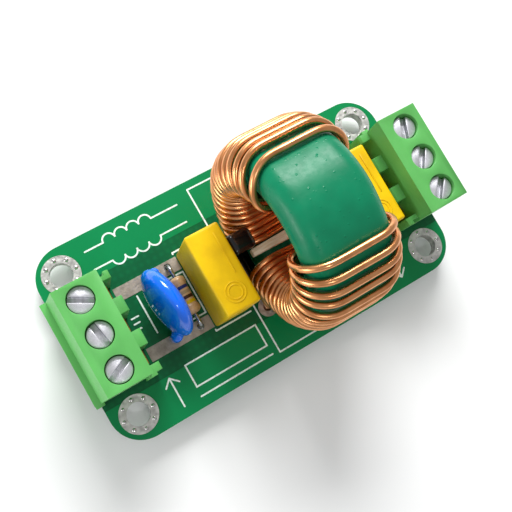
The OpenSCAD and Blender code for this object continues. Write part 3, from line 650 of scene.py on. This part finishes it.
class LINEFILTER_OT_board(bpy.types.Operator):
    """Finish the board, its print, tinned copper and solder joints"""

    bl_idname = "linefilter.board"
    bl_label = "Board"

    def execute(self, context):
        settings = context.scene.linefilter_board
        coat_nodes(make_board_mask(settings), "circuit_board")
        coat_nodes(make_ink(settings), "silkscreen")
        plating = make_tin("levelled_solder_rings", linear("dcdad6"), 0.42, 0.9, 0.07)
        coat_nodes(plating, *[f"hole_plating_{i}" for i in HOLES], "choke_pads")
        tracks = make_tin("levelled_solder_tracks", settings.tin, 0.5, 1.4, 0.08)
        coat_nodes(tracks, "tinned_tracks")
        bright = make_tin("bright_solder", linear("cccdce"), 0.2, 0.8, 0.05)
        joints = new_piece("solder_fillets", merged("solder_joints"))
        shade_by_angle(joints.data, 50)
        finish_piece(joints, "filter", "solder", bright, "solder_joints")
        wire = make_metal("tinned_copper_lead", linear("c3c4c8"), 0.28, 0.7)
        parts = ("input_capacitor", "output_capacitor", "varistor", "resistor")
        coat_nodes(wire, *[f"{part}_leads" for part in parts])
        return {"FINISHED"}


def dome_tree(material):
    """Geometry Nodes: a ring of flat solder domes round every point of the input."""
    inputs = {"Holes": "Geometry", "Ring radius": "Float", "Dome diameter": "Float"}
    inputs.update({"Count": "Int", "Seed": "Int"})
    tree, given = new_tree("Via domes", inputs, "Domes")
    circle = {"Vertices": given["Count"], "Radius": given["Ring radius"]}
    ring = add(tree, "GeometryNodeMeshCircle", circle)["Mesh"]
    laid = {"Points": given["Holes"], "Instance": ring}
    rings = add(tree, "GeometryNodeInstanceOnPoints", laid)["Instances"]
    spots = add(tree, "GeometryNodeRealizeInstances", {0: rings})[0]
    ball = {"Radius": 0.5, "Subdivisions": 3}
    dome = add(tree, "GeometryNodeMeshIcoSphere", ball)["Mesh"]
    # Inputs 2 and 3 are the least and the greatest share of the diameter
    chance = {2: 0.85, 3: 1.1, "Seed": given["Seed"]}
    wide = add(tree, "FunctionNodeRandomValue", chance, data_type="FLOAT")[1]
    sized = {0: wide, 1: given["Dome diameter"]}
    size = add(tree, MATH, sized, operation="MULTIPLY")[0]
    tall = add(tree, MATH, {0: size, 1: 0.42}, operation="MULTIPLY")[0]
    scale = add(tree, "ShaderNodeCombineXYZ", {0: size, 1: size, 2: tall})[0]
    laid = {"Points": spots, "Instance": dome, "Scale": scale}
    domes = add(tree, "GeometryNodeInstanceOnPoints", laid)["Instances"]
    real = add(tree, "GeometryNodeRealizeInstances", {0: domes})[0]
    smooth = add(tree, "GeometryNodeSetShadeSmooth", {0: real})[0]
    done = add(tree, "GeometryNodeSetMaterial", {0: smooth, "Material": material})[0]
    add(tree, "NodeGroupOutput", {0: done})
    return tree


class LINEFILTER_OT_via_domes(bpy.types.Operator):
    """Solder domes on the vias round the mounting holes"""

    bl_idname = "linefilter.via_domes"
    bl_label = "Via domes"

    def execute(self, context):
        settings = context.scene.linefilter_board
        spots = []
        for i in HOLES:
            middle = centre(f"hole_plating_{i}")
            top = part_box(f"hole_plating_{i}")[1].z
            spots.append((middle.x, middle.y, top))
        holes = bpy.data.meshes.new("via_domes")
        holes.from_pydata(spots, [], [])
        piece = new_piece("via_domes", holes)
        bright = make_tin("bright_via_solder", linear("d6d5d3"), 0.24, 0.4, 0.04)
        values = {"Ring radius": settings.ring, "Dome diameter": settings.dome}
        values.update({"Count": 8, "Seed": 3})
        run_tree(piece, dome_tree(bright), values)
        finish_piece(piece, "filter", "plating", bright)
        return {"FINISHED"}


# ------------------------------------------------------------------ blocks


class LINEFILTER_OT_blocks(bpy.types.Operator):
    """Moulded housings of the terminal blocks, with their clamps and contacts"""

    bl_idname = "linefilter.blocks"
    bl_label = "Terminal blocks"

    def execute(self, context):
        settings = context.scene.linefilter_blocks
        plastic = make_block_plastic(settings)
        clamp = make_metal("nickel_plated_clamp", linear("b9b6ac"), 0.36, 0.9)
        brass = make_metal("tinned_brass_strip", settings.brass, 0.32, 0.8)
        for side in SIDES:
            name = f"{side}_housing"
            piece = softened(name, f"{side}_block_moulding", settings.edge / MM)
            finish_piece(piece, "filter", "block_plastic", plastic, name)
            coat_nodes(clamp, *[f"{side}_clamp_{i}" for i in POLES])
            coat_nodes(brass, *[f"{side}_contact_{i}" for i in POLES])
        return {"FINISHED"}


class LINEFILTER_OT_screws(bpy.types.Operator):
    """Slotted clamping screws with turned heads"""

    bl_idname = "linefilter.screws"
    bl_label = "Screws"

    def execute(self, context):
        settings = context.scene.linefilter_blocks
        steel = make_screw_steel(settings)
        chamfer = 0.14
        for side in SIDES:
            for i in POLES:
                node = f"{side}_screw_{i}"
                axis = centre(node)
                piece = softened(node, f"{side}_slotted_screw_{i}", chamfer)
                # The turning marks need the distance from the screw's axis in millimetres
                sheet = piece.data.uv_layers.new(name="head_mm")
                for loop in piece.data.loops:
                    spot = (piece.data.vertices[loop.vertex_index].co - axis) / MM
                    sheet.data[loop.index].uv = (spot.x, spot.y)
                finish_piece(piece, f"{node}_turn", "screw_steel", steel, node)
        return {"FINISHED"}


# ------------------------------------------------------------------ choke


def choke_frame():
    """Middle of the ring, its length along X and its outer radius."""
    low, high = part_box("choke_core")
    return (low + high) / 2, high.x - low.x, (high.z - low.z) / 2


class LINEFILTER_OT_core(bpy.types.Operator):
    """Coated ferrite ring of the choke"""

    bl_idname = "linefilter.core"
    bl_label = "Core"

    def execute(self, context):
        settings = context.scene.linefilter_choke
        middle, span, outer = choke_frame()
        radius = settings.edge
        outside, inside = outer - radius, settings.bore + radius
        level = span / 2 - radius
        corners = [(outside, level, 0), (inside, level, 90)]
        corners += [(inside, -level, 180), (outside, -level, 270)]
        steps = 8
        section = []
        for x, z, start in corners:
            for k in range(steps + 1):
                a = math.radians(start + 90 * k / steps)
                section.append((x + radius * math.cos(a), z + radius * math.sin(a)))
        # More points along the straight parts, so that the coat's waves have vertices
        longest = 0.55 * MM
        profile = []
        for a, b in zip(section, section[1:] + section[:1]):
            count = max(1, round(math.dist(a, b) / longest))
            for k in range(count):
                t = k / count
                profile.append((a[0] + (b[0] - a[0]) * t, a[1] + (b[1] - a[1]) * t))
        place = Matrix.Translation(middle) @ Matrix.Rotation(math.radians(90), 4, "Y")
        piece = lathe("coated_ring", profile, place, 160)
        # The coat sags up to about this deep, in broad waves with shallow creases
        sag, wave = 0.13 * MM, 3.2 * MM
        vertices = piece.data.vertices
        for vertex, normal in zip(vertices, [v.normal.copy() for v in vertices]):
            spot = vertex.co / wave
            dip = 0.5 - 0.5 * noise.noise(spot) + 0.25 * abs(noise.noise(spot * 2.3))
            vertex.co -= normal * dip * sag
        look = (0.34, 2.8, 0.04, 0.86, 1.3)
        coat = make_dipped("epoxy_coated_ferrite", settings.coat, *look, Specular_IOR_Level=0.2)
        finish_piece(piece, "filter", "core_coat", coat, "choke_core")
        return {"FINISHED"}


def wire_tree(material):
    """Geometry Nodes: a round wire of even section along a path of points."""
    inputs = {"Path": "Geometry", "Wire radius": "Float", "Step": "Float"}
    inputs.update({"Sides": "Int", "Smoothing": "Int"})
    tree, given = new_tree("Wound wire", inputs, "Wire")
    curve = add(tree, "GeometryNodeMeshToCurve", {0: given["Path"]})[0]
    spaced = {"Curve": curve, "Length": given["Step"]}
    even = add(tree, "GeometryNodeResampleCurve", spaced, mode="LENGTH")[0]
    spot = add(tree, "GeometryNodeInputPosition")[0]
    blur = {"Value": spot, "Iterations": given["Smoothing"]}
    eased = add(tree, "GeometryNodeBlurAttribute", blur, data_type="FLOAT_VECTOR")
    # Blur has an output for every type of value; only the chosen one is enabled
    target = [socket for socket in eased if socket.enabled][0]
    moved = add(tree, "GeometryNodeSetPosition", {"Geometry": even, "Position": target})[0]
    reach = add(tree, "GeometryNodeSplineParameter")["Length"]
    in_mm = add(tree, MATH, {0: reach, 1: 1 / MM}, operation="MULTIPLY")[0]
    mark = {"Geometry": moved, "Name": "along_mm", "Value": in_mm}
    store = {"data_type": "FLOAT", "domain": "POINT"}
    kept = add(tree, "GeometryNodeStoreNamedAttribute", mark, **store)[0]
    circle = {"Resolution": given["Sides"], "Radius": given["Wire radius"]}
    section = add(tree, "GeometryNodeCurvePrimitiveCircle", circle)[0]
    swept = {"Curve": kept, "Profile Curve": section, "Fill Caps": True}
    tube = add(tree, "GeometryNodeCurveToMesh", swept)[0]
    real = add(tree, "GeometryNodeRealizeInstances", {0: tube})[0]
    smooth = add(tree, "GeometryNodeSetShadeSmooth", {0: real})[0]
    done = add(tree, "GeometryNodeSetMaterial", {0: smooth, "Material": material})[0]
    add(tree, "NodeGroupOutput", {0: done})
    return tree


class Winding:
    """Path of one winding, in millimetres about the middle of the board. It follows the
    rule of the solid winding: side 1 lies at +Y and side -1 at -Y. Angles are in degrees
    from the top of the ring."""

    # Between the points of a bend
    STEP = 9
    # Outside the ring: the first angle, the gaps of the first turns and those of the rest
    OUTSIDE = {1: (36, (11,), 7), -1: (31, (9.5, 9.5, 8.5, 10.5, 10), 7.2)}
    # Between the coat and the wire, and between two wires in the bore
    CLEAR, APART = 0.1, 0.01
    # Share of the way over a face that the bend at the outside takes
    SHARE = 0.59
    # How unevenly the turns lie by hand: height over the outside, and angle
    LIFT, STRAY = 0.16, 0.7
    # The pads of the front lead and the side lead, from the middle line
    FRONT_PAD, SIDE_PAD = -7.4, 9.4
    # Height at which the leads end, under the board
    TAIL = -1.5

    def __init__(self, settings, side):
        middle, span, outer = choke_frame()
        self.side = side
        self.x, self.z = middle.x / MM, middle.z / MM
        self.wire = settings.wire / MM / 2
        off = self.wire + self.CLEAR
        self.run_in = settings.bore / MM - off
        self.run_out = outer / MM + off
        self.span = span / MM
        self.face = self.span / 2 + off + settings.slack / MM
        self.flare = settings.flare / MM
        self.bend_out = self.SHARE * (self.run_out - self.run_in)
        self.bend_in = self.run_out - self.run_in - self.bend_out
        self.meet = self.run_in + self.bend_in
        self.turns = settings.turns_a if side > 0 else settings.turns_b
        half_gap = self.wire + self.APART / 2
        self.bore_step = math.degrees(2 * math.asin(half_gap / self.run_in))
        chance = random.Random(settings.seed + side)
        count = self.turns + 2
        self.lift = [chance.uniform(0.0, self.LIFT) for _ in range(count)]
        self.stray = [chance.uniform(-self.STRAY, self.STRAY) for _ in range(count)]

    def outer(self, k):
        """Angle of turn k outside the ring."""
        first, gaps, rest = self.OUTSIDE[self.side]
        return first + sum(gaps[:k]) + rest * max(0, k - len(gaps))

    def inner(self, k):
        """Angle of turn k in the bore. The first turn of side 1 lies a little apart."""
        first = (33.5 if k == 0 else 40) if self.side > 0 else 38.5
        return first + self.bore_step * (k - 1)

    def spot(self, x, radius, angle):
        """Point at this distance from the middle of the ring, radius and angle."""
        a = math.radians(angle)
        side = self.side * radius * math.sin(a)
        return (self.x + x, side, self.z + radius * math.cos(a))

    def bend(self, angle, depth, reach, off):
        """Distance from the middle of the ring and radius on a bend over a face."""
        a = math.radians(angle)
        away = self.face - depth + (depth + off) * math.sin(a)
        return away, self.meet + reach * math.cos(a)

    def over_face(self, k, way, start, end):
        """Wire along one face from the bore outwards; way is -1 in front and 1 behind."""
        # The flare grows over the first five turns
        off = self.flare * min(1, k / 5) if way < 0 else 0
        near, far = self.bend_in, self.bend_out
        places = [self.bend(b, near, -near, off) for b in range(0, 90, self.STEP)]
        reach = far + self.lift[k]
        places += [self.bend(b, far, reach, off) for b in range(90, -1, -self.STEP)]
        slope = (end - start) / (self.run_out - self.run_in)
        return [self.spot(way * x, r, start + slope * (r - self.run_in)) for x, r in places]

    def turn(self, k):
        """Out over the front face, straight back outside, in over the back face."""
        out = self.outer(k) + self.stray[k]
        between = (self.inner(k) + self.inner(k + 1)) / 2
        front = self.over_face(k, -1, self.inner(k), out)
        back = self.over_face(k, 1, between, out + 0.5 * self.stray[k])
        return front + back[::-1]

    def back_lead(self):
        """From the board behind the choke up into the bore near its top."""
        a = math.radians(self.inner(0) - self.bore_step / 2)
        y, z = self.run_in * math.sin(a), self.run_in * math.cos(a)
        x = self.x + self.face + 2 * self.wire + self.CLEAR
        points = [
            (0, 5, self.TAIL - self.z),
            (0, 5, 2.4 - self.z),
            (0, 4.6, 4.2 - self.z),
            (0, 3.5, 8 - self.z),
            (0, 3.0, -4),
            (0, (y + 3.0) / 2, z - 3.2),
            (-0.15, y - 0.05, z - 1.3),
            (-0.8, y, z - 0.3),
            (-1.9, y, z),
        ]
        return [(x + p[0], self.side * p[1], self.z + p[2]) for p in points]

    def front_lead(self, k):
        """Out of the bore, down the front face and under the ring to its pad."""
        a = self.inner(k)
        path = []
        for b in range(0, 91, self.STEP):
            away, radius = self.bend(b, self.bend_in, -self.bend_in, self.flare)
            path.append(self.spot(-away, radius, a - 3 * b / 90))
        path.append(self.spot(-self.face - self.flare, self.meet + 1.5, a - 5))
        x, y = self.x - self.span / 2 - 0.4, self.FRONT_PAD
        path += [(x - 0.45, y + 2.3, 4.3), (x - 0.3, y + 1.1, 3.2), (x - 0.1, y + 0.3, 2.4)]
        return path + [(x, y, 1.6), (x, y, self.TAIL)]

    def side_lead(self, k):
        """Down behind the ring to its pad."""
        x, y = self.x + self.span / 2 - 0.4, self.SIDE_PAD
        path = [self.spot(self.face - self.bend_out, self.run_out, self.outer(k))]
        path += [(x - 1.2, y - 0.55, 5.2), (x - 0.35, y - 0.35, 4.5), (x - 0.05, y - 0.1, 3.5)]
        return path + [(x, y, 2.4), (x, y, self.TAIL)]

    def path(self):
        """All points of the winding, in metres."""
        last = self.turns - 1
        points = self.back_lead()
        for k in range(last):
            points += self.turn(k)
        if self.side > 0:
            points += self.over_face(last, -1, self.inner(last), self.outer(last))
            points += self.side_lead(last)
        else:
            points += self.turn(last) + self.front_lead(last + 1)
        return [Vector(p) * MM for p in points]


class LINEFILTER_OT_windings(bpy.types.Operator):
    """The two windings of enamelled copper wire"""

    bl_idname = "linefilter.windings"
    bl_label = "Windings"

    def execute(self, context):
        settings = context.scene.linefilter_choke
        copper = make_enamelled_copper(settings)
        tree = wire_tree(copper)
        values = {"Wire radius": settings.wire / 2, "Step": settings.step}
        values.update({"Sides": settings.sides, "Smoothing": 3})
        for label, side in (("a", 1), ("b", -1)):
            points = Winding(settings, side).path()
            mesh = bpy.data.meshes.new("wire_path")
            mesh.from_pydata(points, [(i, i + 1) for i in range(len(points) - 1)], [])
            piece = run_tree(new_piece(f"copper_winding_{label}", mesh), tree, values)
            if not piece.data.polygons:
                raise RuntimeError(f"winding {label} came out empty")
            node = f"choke_winding_{label}"
            finish_piece(piece, "filter", "enamelled_copper", copper, node)
        return {"FINISHED"}


class LINEFILTER_OT_choke_mount(bpy.types.Operator):
    """Black base with its hook, and the pale strip between the windings"""

    bl_idname = "linefilter.choke_mount"
    bl_label = "Choke base and divider"

    def execute(self, context):
        settings = context.scene.linefilter_parts
        base = one_skin(new_piece("black_cradle", merged("choke_base")), 0.13, 24)
        # The hook's arm is moulded full and round; it swells over its lowest millimetre
        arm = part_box("choke_base")[1].z - 2.2 * MM
        swell = 0.42 * MM
        normals = [vertex.normal.copy() for vertex in base.data.vertices]
        for vertex, normal in zip(base.data.vertices, normals):
            vertex.co += normal * swell * min(1, max(0, (vertex.co.z - arm) / MM))
        finish_piece(base, "filter", "black_plastic", make_black(settings), "choke_base")
        strip = softened("choke_divider", "pale_divider", 0.18)
        wood = make_divider(settings)
        finish_piece(strip, "filter", "divider_board", wood, "choke_divider")
        return {"FINISHED"}


# ------------------------------------------------------------------ small parts


def rounded_bar(name, start, end, width, height):
    """Raised moulded line between two points on a level face."""
    start, end = Vector(start), Vector(end)
    along = (end - start).normalized()
    across = Vector((-along.y, along.x, 0)) * width / 2
    up = Vector((0, 0, height))
    middle = (start + end) / 2
    ring = []
    for spot, way in ((start, 1), (end, -1)):
        for k in range(7):
            a = math.radians(90 + 30 * k)
            offset = along * math.cos(a) * width / 2 * way + across * math.sin(a) * way
            ring.append(spot + offset)
    # Half sunk in the face, upright, then drawn in a little at the top
    shape = bmesh.new()
    levels = [[p - up * 0.5 for p in ring], [p + up * 0.5 for p in ring]]
    levels.append([middle + (p - middle) * 0.985 + up for p in ring])
    rows = [[shape.verts.new(p) for p in level] for level in levels]
    count = len(ring)
    for low, high in zip(rows, rows[1:]):
        for i in range(count):
            j = (i + 1) % count
            shape.faces.new((low[i], low[j], high[j], high[i]))
    shape.faces.new(rows[0][::-1])
    shape.faces.new(rows[-1])
    return new_piece(name, mesh_from(name, shape))


class LINEFILTER_OT_capacitors(bpy.types.Operator):
    """Moulded boxes of the film capacitors with their raised mould marks"""

    bl_idname = "linefilter.capacitors"
    bl_label = "Capacitors"

    def execute(self, context):
        material = make_capacitor_box(context.scene.linefilter_parts)
        height = 0.1 * MM
        for side in SIDES:
            node = f"{side}_capacitor"
            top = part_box(node)[1].z
            middle = centre(node)
            body = softened(node, f"{side}_film_capacitor", 0.06, 2, 40)
            finish_piece(body, "filter", "capacitor_box", material, node)
            # A thin line along the top and the round mark of an ejector pin
            x = middle.x + 1.35 * MM
            start = (x, middle.y - 1.2 * MM, top)
            end = (x, middle.y + 4.9 * MM, top)
            marks = [rounded_bar("mould_line", start, end, 0.2 * MM, height)]
            place = Matrix.Translation((middle.x, middle.y - 3.6 * MM, top))
            for radius in (1.45 * MM, 1.0 * MM):
                bead = []
                for k in range(8):
                    a = math.radians(45 * k)
                    bead.append((radius + 0.12 * MM * math.cos(a), height * math.sin(a)))
                marks.append(lathe("mould_ring", bead, place, 48))
            piece = joined(f"{side}_mould_marks", marks)
            shade_by_angle(piece.data, 60)
            finish_piece(piece, "filter", "capacitor_box", material)
        return {"FINISHED"}


class LINEFILTER_OT_varistor(bpy.types.Operator):
    """Dipped disc of the varistor with its coated legs"""

    bl_idname = "linefilter.varistor"
    bl_label = "Varistor"

    def execute(self, context):
        settings = context.scene.linefilter_parts
        low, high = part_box("varistor_disc")
        middle = (low + high) / 2
        radius = (high.y - low.y) / 2
        half = settings.coat / 2
        # Flat in the middle and drawn round at the rim, by the two exponents
        count = 26
        profile = []
        for k in range(count + 1):
            r = radius * math.sin(math.radians(90 * k / count))
            profile.append((r, half * max(0, 1 - (r / radius) ** 2.5) ** 0.52))
        profile += [(r, -z) for r, z in reversed(profile[:-1])]
        # The disc stands turned and leaning on its leads
        turn = Matrix.Rotation(math.radians(6.5), 4, "Z")
        lean = Matrix.Rotation(math.radians(90 + 4), 4, "Y")
        place = Matrix.Translation(middle) @ turn @ lean
        parts = [lathe("disc", profile, place, 128)]
        # Coat that ran down the leads: wide at the disc, thin at the board, where it
        # starts this high
        run = [(0.0, 0.0), (0.74, 0.05), (0.82, 0.5), (0.88, 1.6), (0.94, 3.0)]
        run += [(0.86, 4.4), (0.0, 5.2)]
        run = [(r * MM, z * MM) for r, z in run]
        foot = 2.1 * MM
        low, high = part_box("varistor_leads")
        for side in (-1, 1):
            x = (low.x + high.x) / 2 + side * 0.75 * MM
            y = (high.y - 0.4 * MM) * side
            parts.append(lathe("leg", run, Matrix.Translation((x, y, foot)), 24))
        piece = one_skin(joined("dipped_varistor", parts), 0.13, 30)
        wave, depth = 3.4 * MM, 0.02 * MM
        for vertex in piece.data.vertices:
            vertex.co += vertex.normal * noise.noise(vertex.co / wave) * depth
        look = (0.1, 3.8, 0.004, 0.94)
        coat = make_dipped("dipped_epoxy_varistor", settings.epoxy, *look, Coat_Weight=0.4)
        finish_piece(piece, "filter", "varistor_coat", coat, "varistor_disc")
        return {"FINISHED"}


class LINEFILTER_OT_resistor(bpy.types.Operator):
    """Lacquered body of the discharge resistor with its painted rings"""

    bl_idname = "linefilter.resistor"
    bl_label = "Resistor"

    def execute(self, context):
        settings = context.scene.linefilter_parts
        low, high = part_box("resistor_body")
        half = (high.y - low.y) / 2
        radius = (high.z - low.z) / 2
        waist = radius - 0.17 * MM
        # Round end, then a soft step down to the waist, as shares of the half length
        end, shoulder, softness = 0.22, 0.46, 0.035
        count = 24
        profile = [(0.0, -half)]
        for k in range(1, count + 1):
            t = k / count
            bead = math.sqrt(max(0.0, 1 - (1 - min(1, t / end)) ** 2))
            step = 1 / (1 + math.exp(-(t - shoulder) / softness))
            r = (radius * (1 - step) + waist * step) * bead
            profile.append((r, -half * (1 - t)))
        profile += [(r, -y) for r, y in reversed(profile[:-1])]
        turn = Matrix.Rotation(math.radians(-90), 4, "X")
        place = Matrix.Translation((low + high) / 2) @ turn
        piece = lathe("lacquered_resistor", profile, place, 48)
        look = (0.28, 1.1, 0.1, 0.75)
        lacquer = make_dipped("resistor_lacquer", settings.lacquer, *look, Coat_Weight=0.4)
        finish_piece(piece, "filter", "resistor_lacquer", lacquer, "resistor_body")
        coat_nodes(make_bands(), "resistor_bands")
        return {"FINISHED"}


# ------------------------------------------------------------------ stage


def lamp(name, power, spot, width, height):
    """Soft rectangular lamp at a spot in metres, turned to the middle of the filter."""
    data = bpy.data.lights.new(name, "AREA")
    data.shape = "RECTANGLE"
    data.size, data.size_y = width, height
    data.energy = power
    away = Vector(spot) - Vector((0, 0, 8 * MM))
    turn = away.to_track_quat("Z", "Y").to_matrix().to_4x4()
    light = bpy.data.objects.new(name, data)
    light.matrix_world = Matrix.Translation(spot) @ turn
    bpy.context.scene.collection.objects.link(light)


class LINEFILTER_OT_stage(bpy.types.Operator):
    """Pale floor, soft studio light and the camera"""

    bl_idname = "linefilter.stage"
    bl_label = "Stage"

    def execute(self, context):
        settings = context.scene.linefilter_stage
        scene = context.scene
        scene.view_settings.view_transform = "Standard"
        # The floor lies just under the lowest lead
        low = CAD_BOX[0][2] - 0.05 * MM
        reach = 1.2
        corners = [(-reach, -reach), (reach, -reach), (reach, reach), (-reach, reach)]
        mesh = bpy.data.meshes.new("floor")
        mesh.from_pydata([(x, y, low) for x, y in corners], [], [(0, 1, 2, 3)])
        floor = new_piece("floor", mesh)
        # Matt white paper, with hardly any shine of its own
        paper = {"Base_Color": rgba(settings.floor), "Specular_IOR_Level": 0.1}
        mesh.materials.append(begin("matt_paper", Roughness=0.9, **paper)[0])

        world = bpy.data.worlds.new("room")
        world.use_nodes = True
        back = world.node_tree.nodes["Background"]
        back.inputs["Color"].default_value = (1, 1, 1, 1)
        back.inputs["Strength"].default_value = settings.sky
        scene.world = world

        lamp("key", settings.key, (0.1, 0.26, 0.23), 0.2, 0.14)
        lamp("fill", settings.fill, (-0.3, 0.01, 0.085), 0.2, 0.08)
        lamp("glint", settings.fill * 0.4, (-0.1, -0.2, 0.36), 0.05, 0.05)

        data = bpy.data.cameras.new("view")
        data.sensor_width = 36.0
        data.lens = settings.lens
        data.clip_start = 0.005
        data.clip_end = 10.0
        camera = bpy.data.objects.new("view", data)
        camera.location = Vector((-30.753, -8.613, 116.4)) * MM
        tilt, roll, heading = 11.43605, -11.15465, -30.64576
        camera.rotation_euler = [math.radians(a) for a in (tilt, roll, heading)]
        scene.collection.objects.link(camera)
        scene.camera = camera
        return {"FINISHED"}


# ------------------------------------------------------------------ panel


PIECES = (
    LINEFILTER_OT_stage,
    LINEFILTER_OT_board,
    LINEFILTER_OT_via_domes,
    LINEFILTER_OT_blocks,
    LINEFILTER_OT_screws,
    LINEFILTER_OT_core,
    LINEFILTER_OT_windings,
    LINEFILTER_OT_choke_mount,
    LINEFILTER_OT_capacitors,
    LINEFILTER_OT_varistor,
    LINEFILTER_OT_resistor,
)

GROUPS = (
    ("linefilter_board", LINEFILTER_PG_board),
    ("linefilter_blocks", LINEFILTER_PG_blocks),
    ("linefilter_choke", LINEFILTER_PG_choke),
    ("linefilter_parts", LINEFILTER_PG_parts),
    ("linefilter_stage", LINEFILTER_PG_stage),
)


class LINEFILTER_PT_panel(bpy.types.Panel):
    """Lists the pieces of the line filter and their sizes and colours"""

    bl_idname = "LINEFILTER_PT_panel"
    bl_label = "Line filter"
    bl_space_type = "VIEW_3D"
    bl_region_type = "UI"
    bl_category = "Line filter"

    def draw(self, context):
        layout = self.layout
        for piece in PIECES:
            layout.operator(piece.bl_idname)
        for name, group in GROUPS:
            box = layout.box()
            box.label(text=group.__doc__)
            for key in group.__annotations__:
                box.prop(getattr(context.scene, name), key)


CLASSES = PIECES + tuple(group for _, group in GROUPS) + (LINEFILTER_PT_panel,)


def register():
    for item in CLASSES:
        bpy.utils.register_class(item)
    for name, group in GROUPS:
        setattr(bpy.types.Scene, name, PointerProperty(type=group))


def unregister():
    for name, _ in GROUPS:
        delattr(bpy.types.Scene, name)
    for item in reversed(CLASSES):
        bpy.utils.unregister_class(item)


def main():
    register()
    for piece in PIECES:
        group, action = piece.bl_idname.split(".")
        getattr(getattr(bpy.ops, group), action)()
    bpy.context.view_layer.update()


if __name__ == "__main__":
    main()
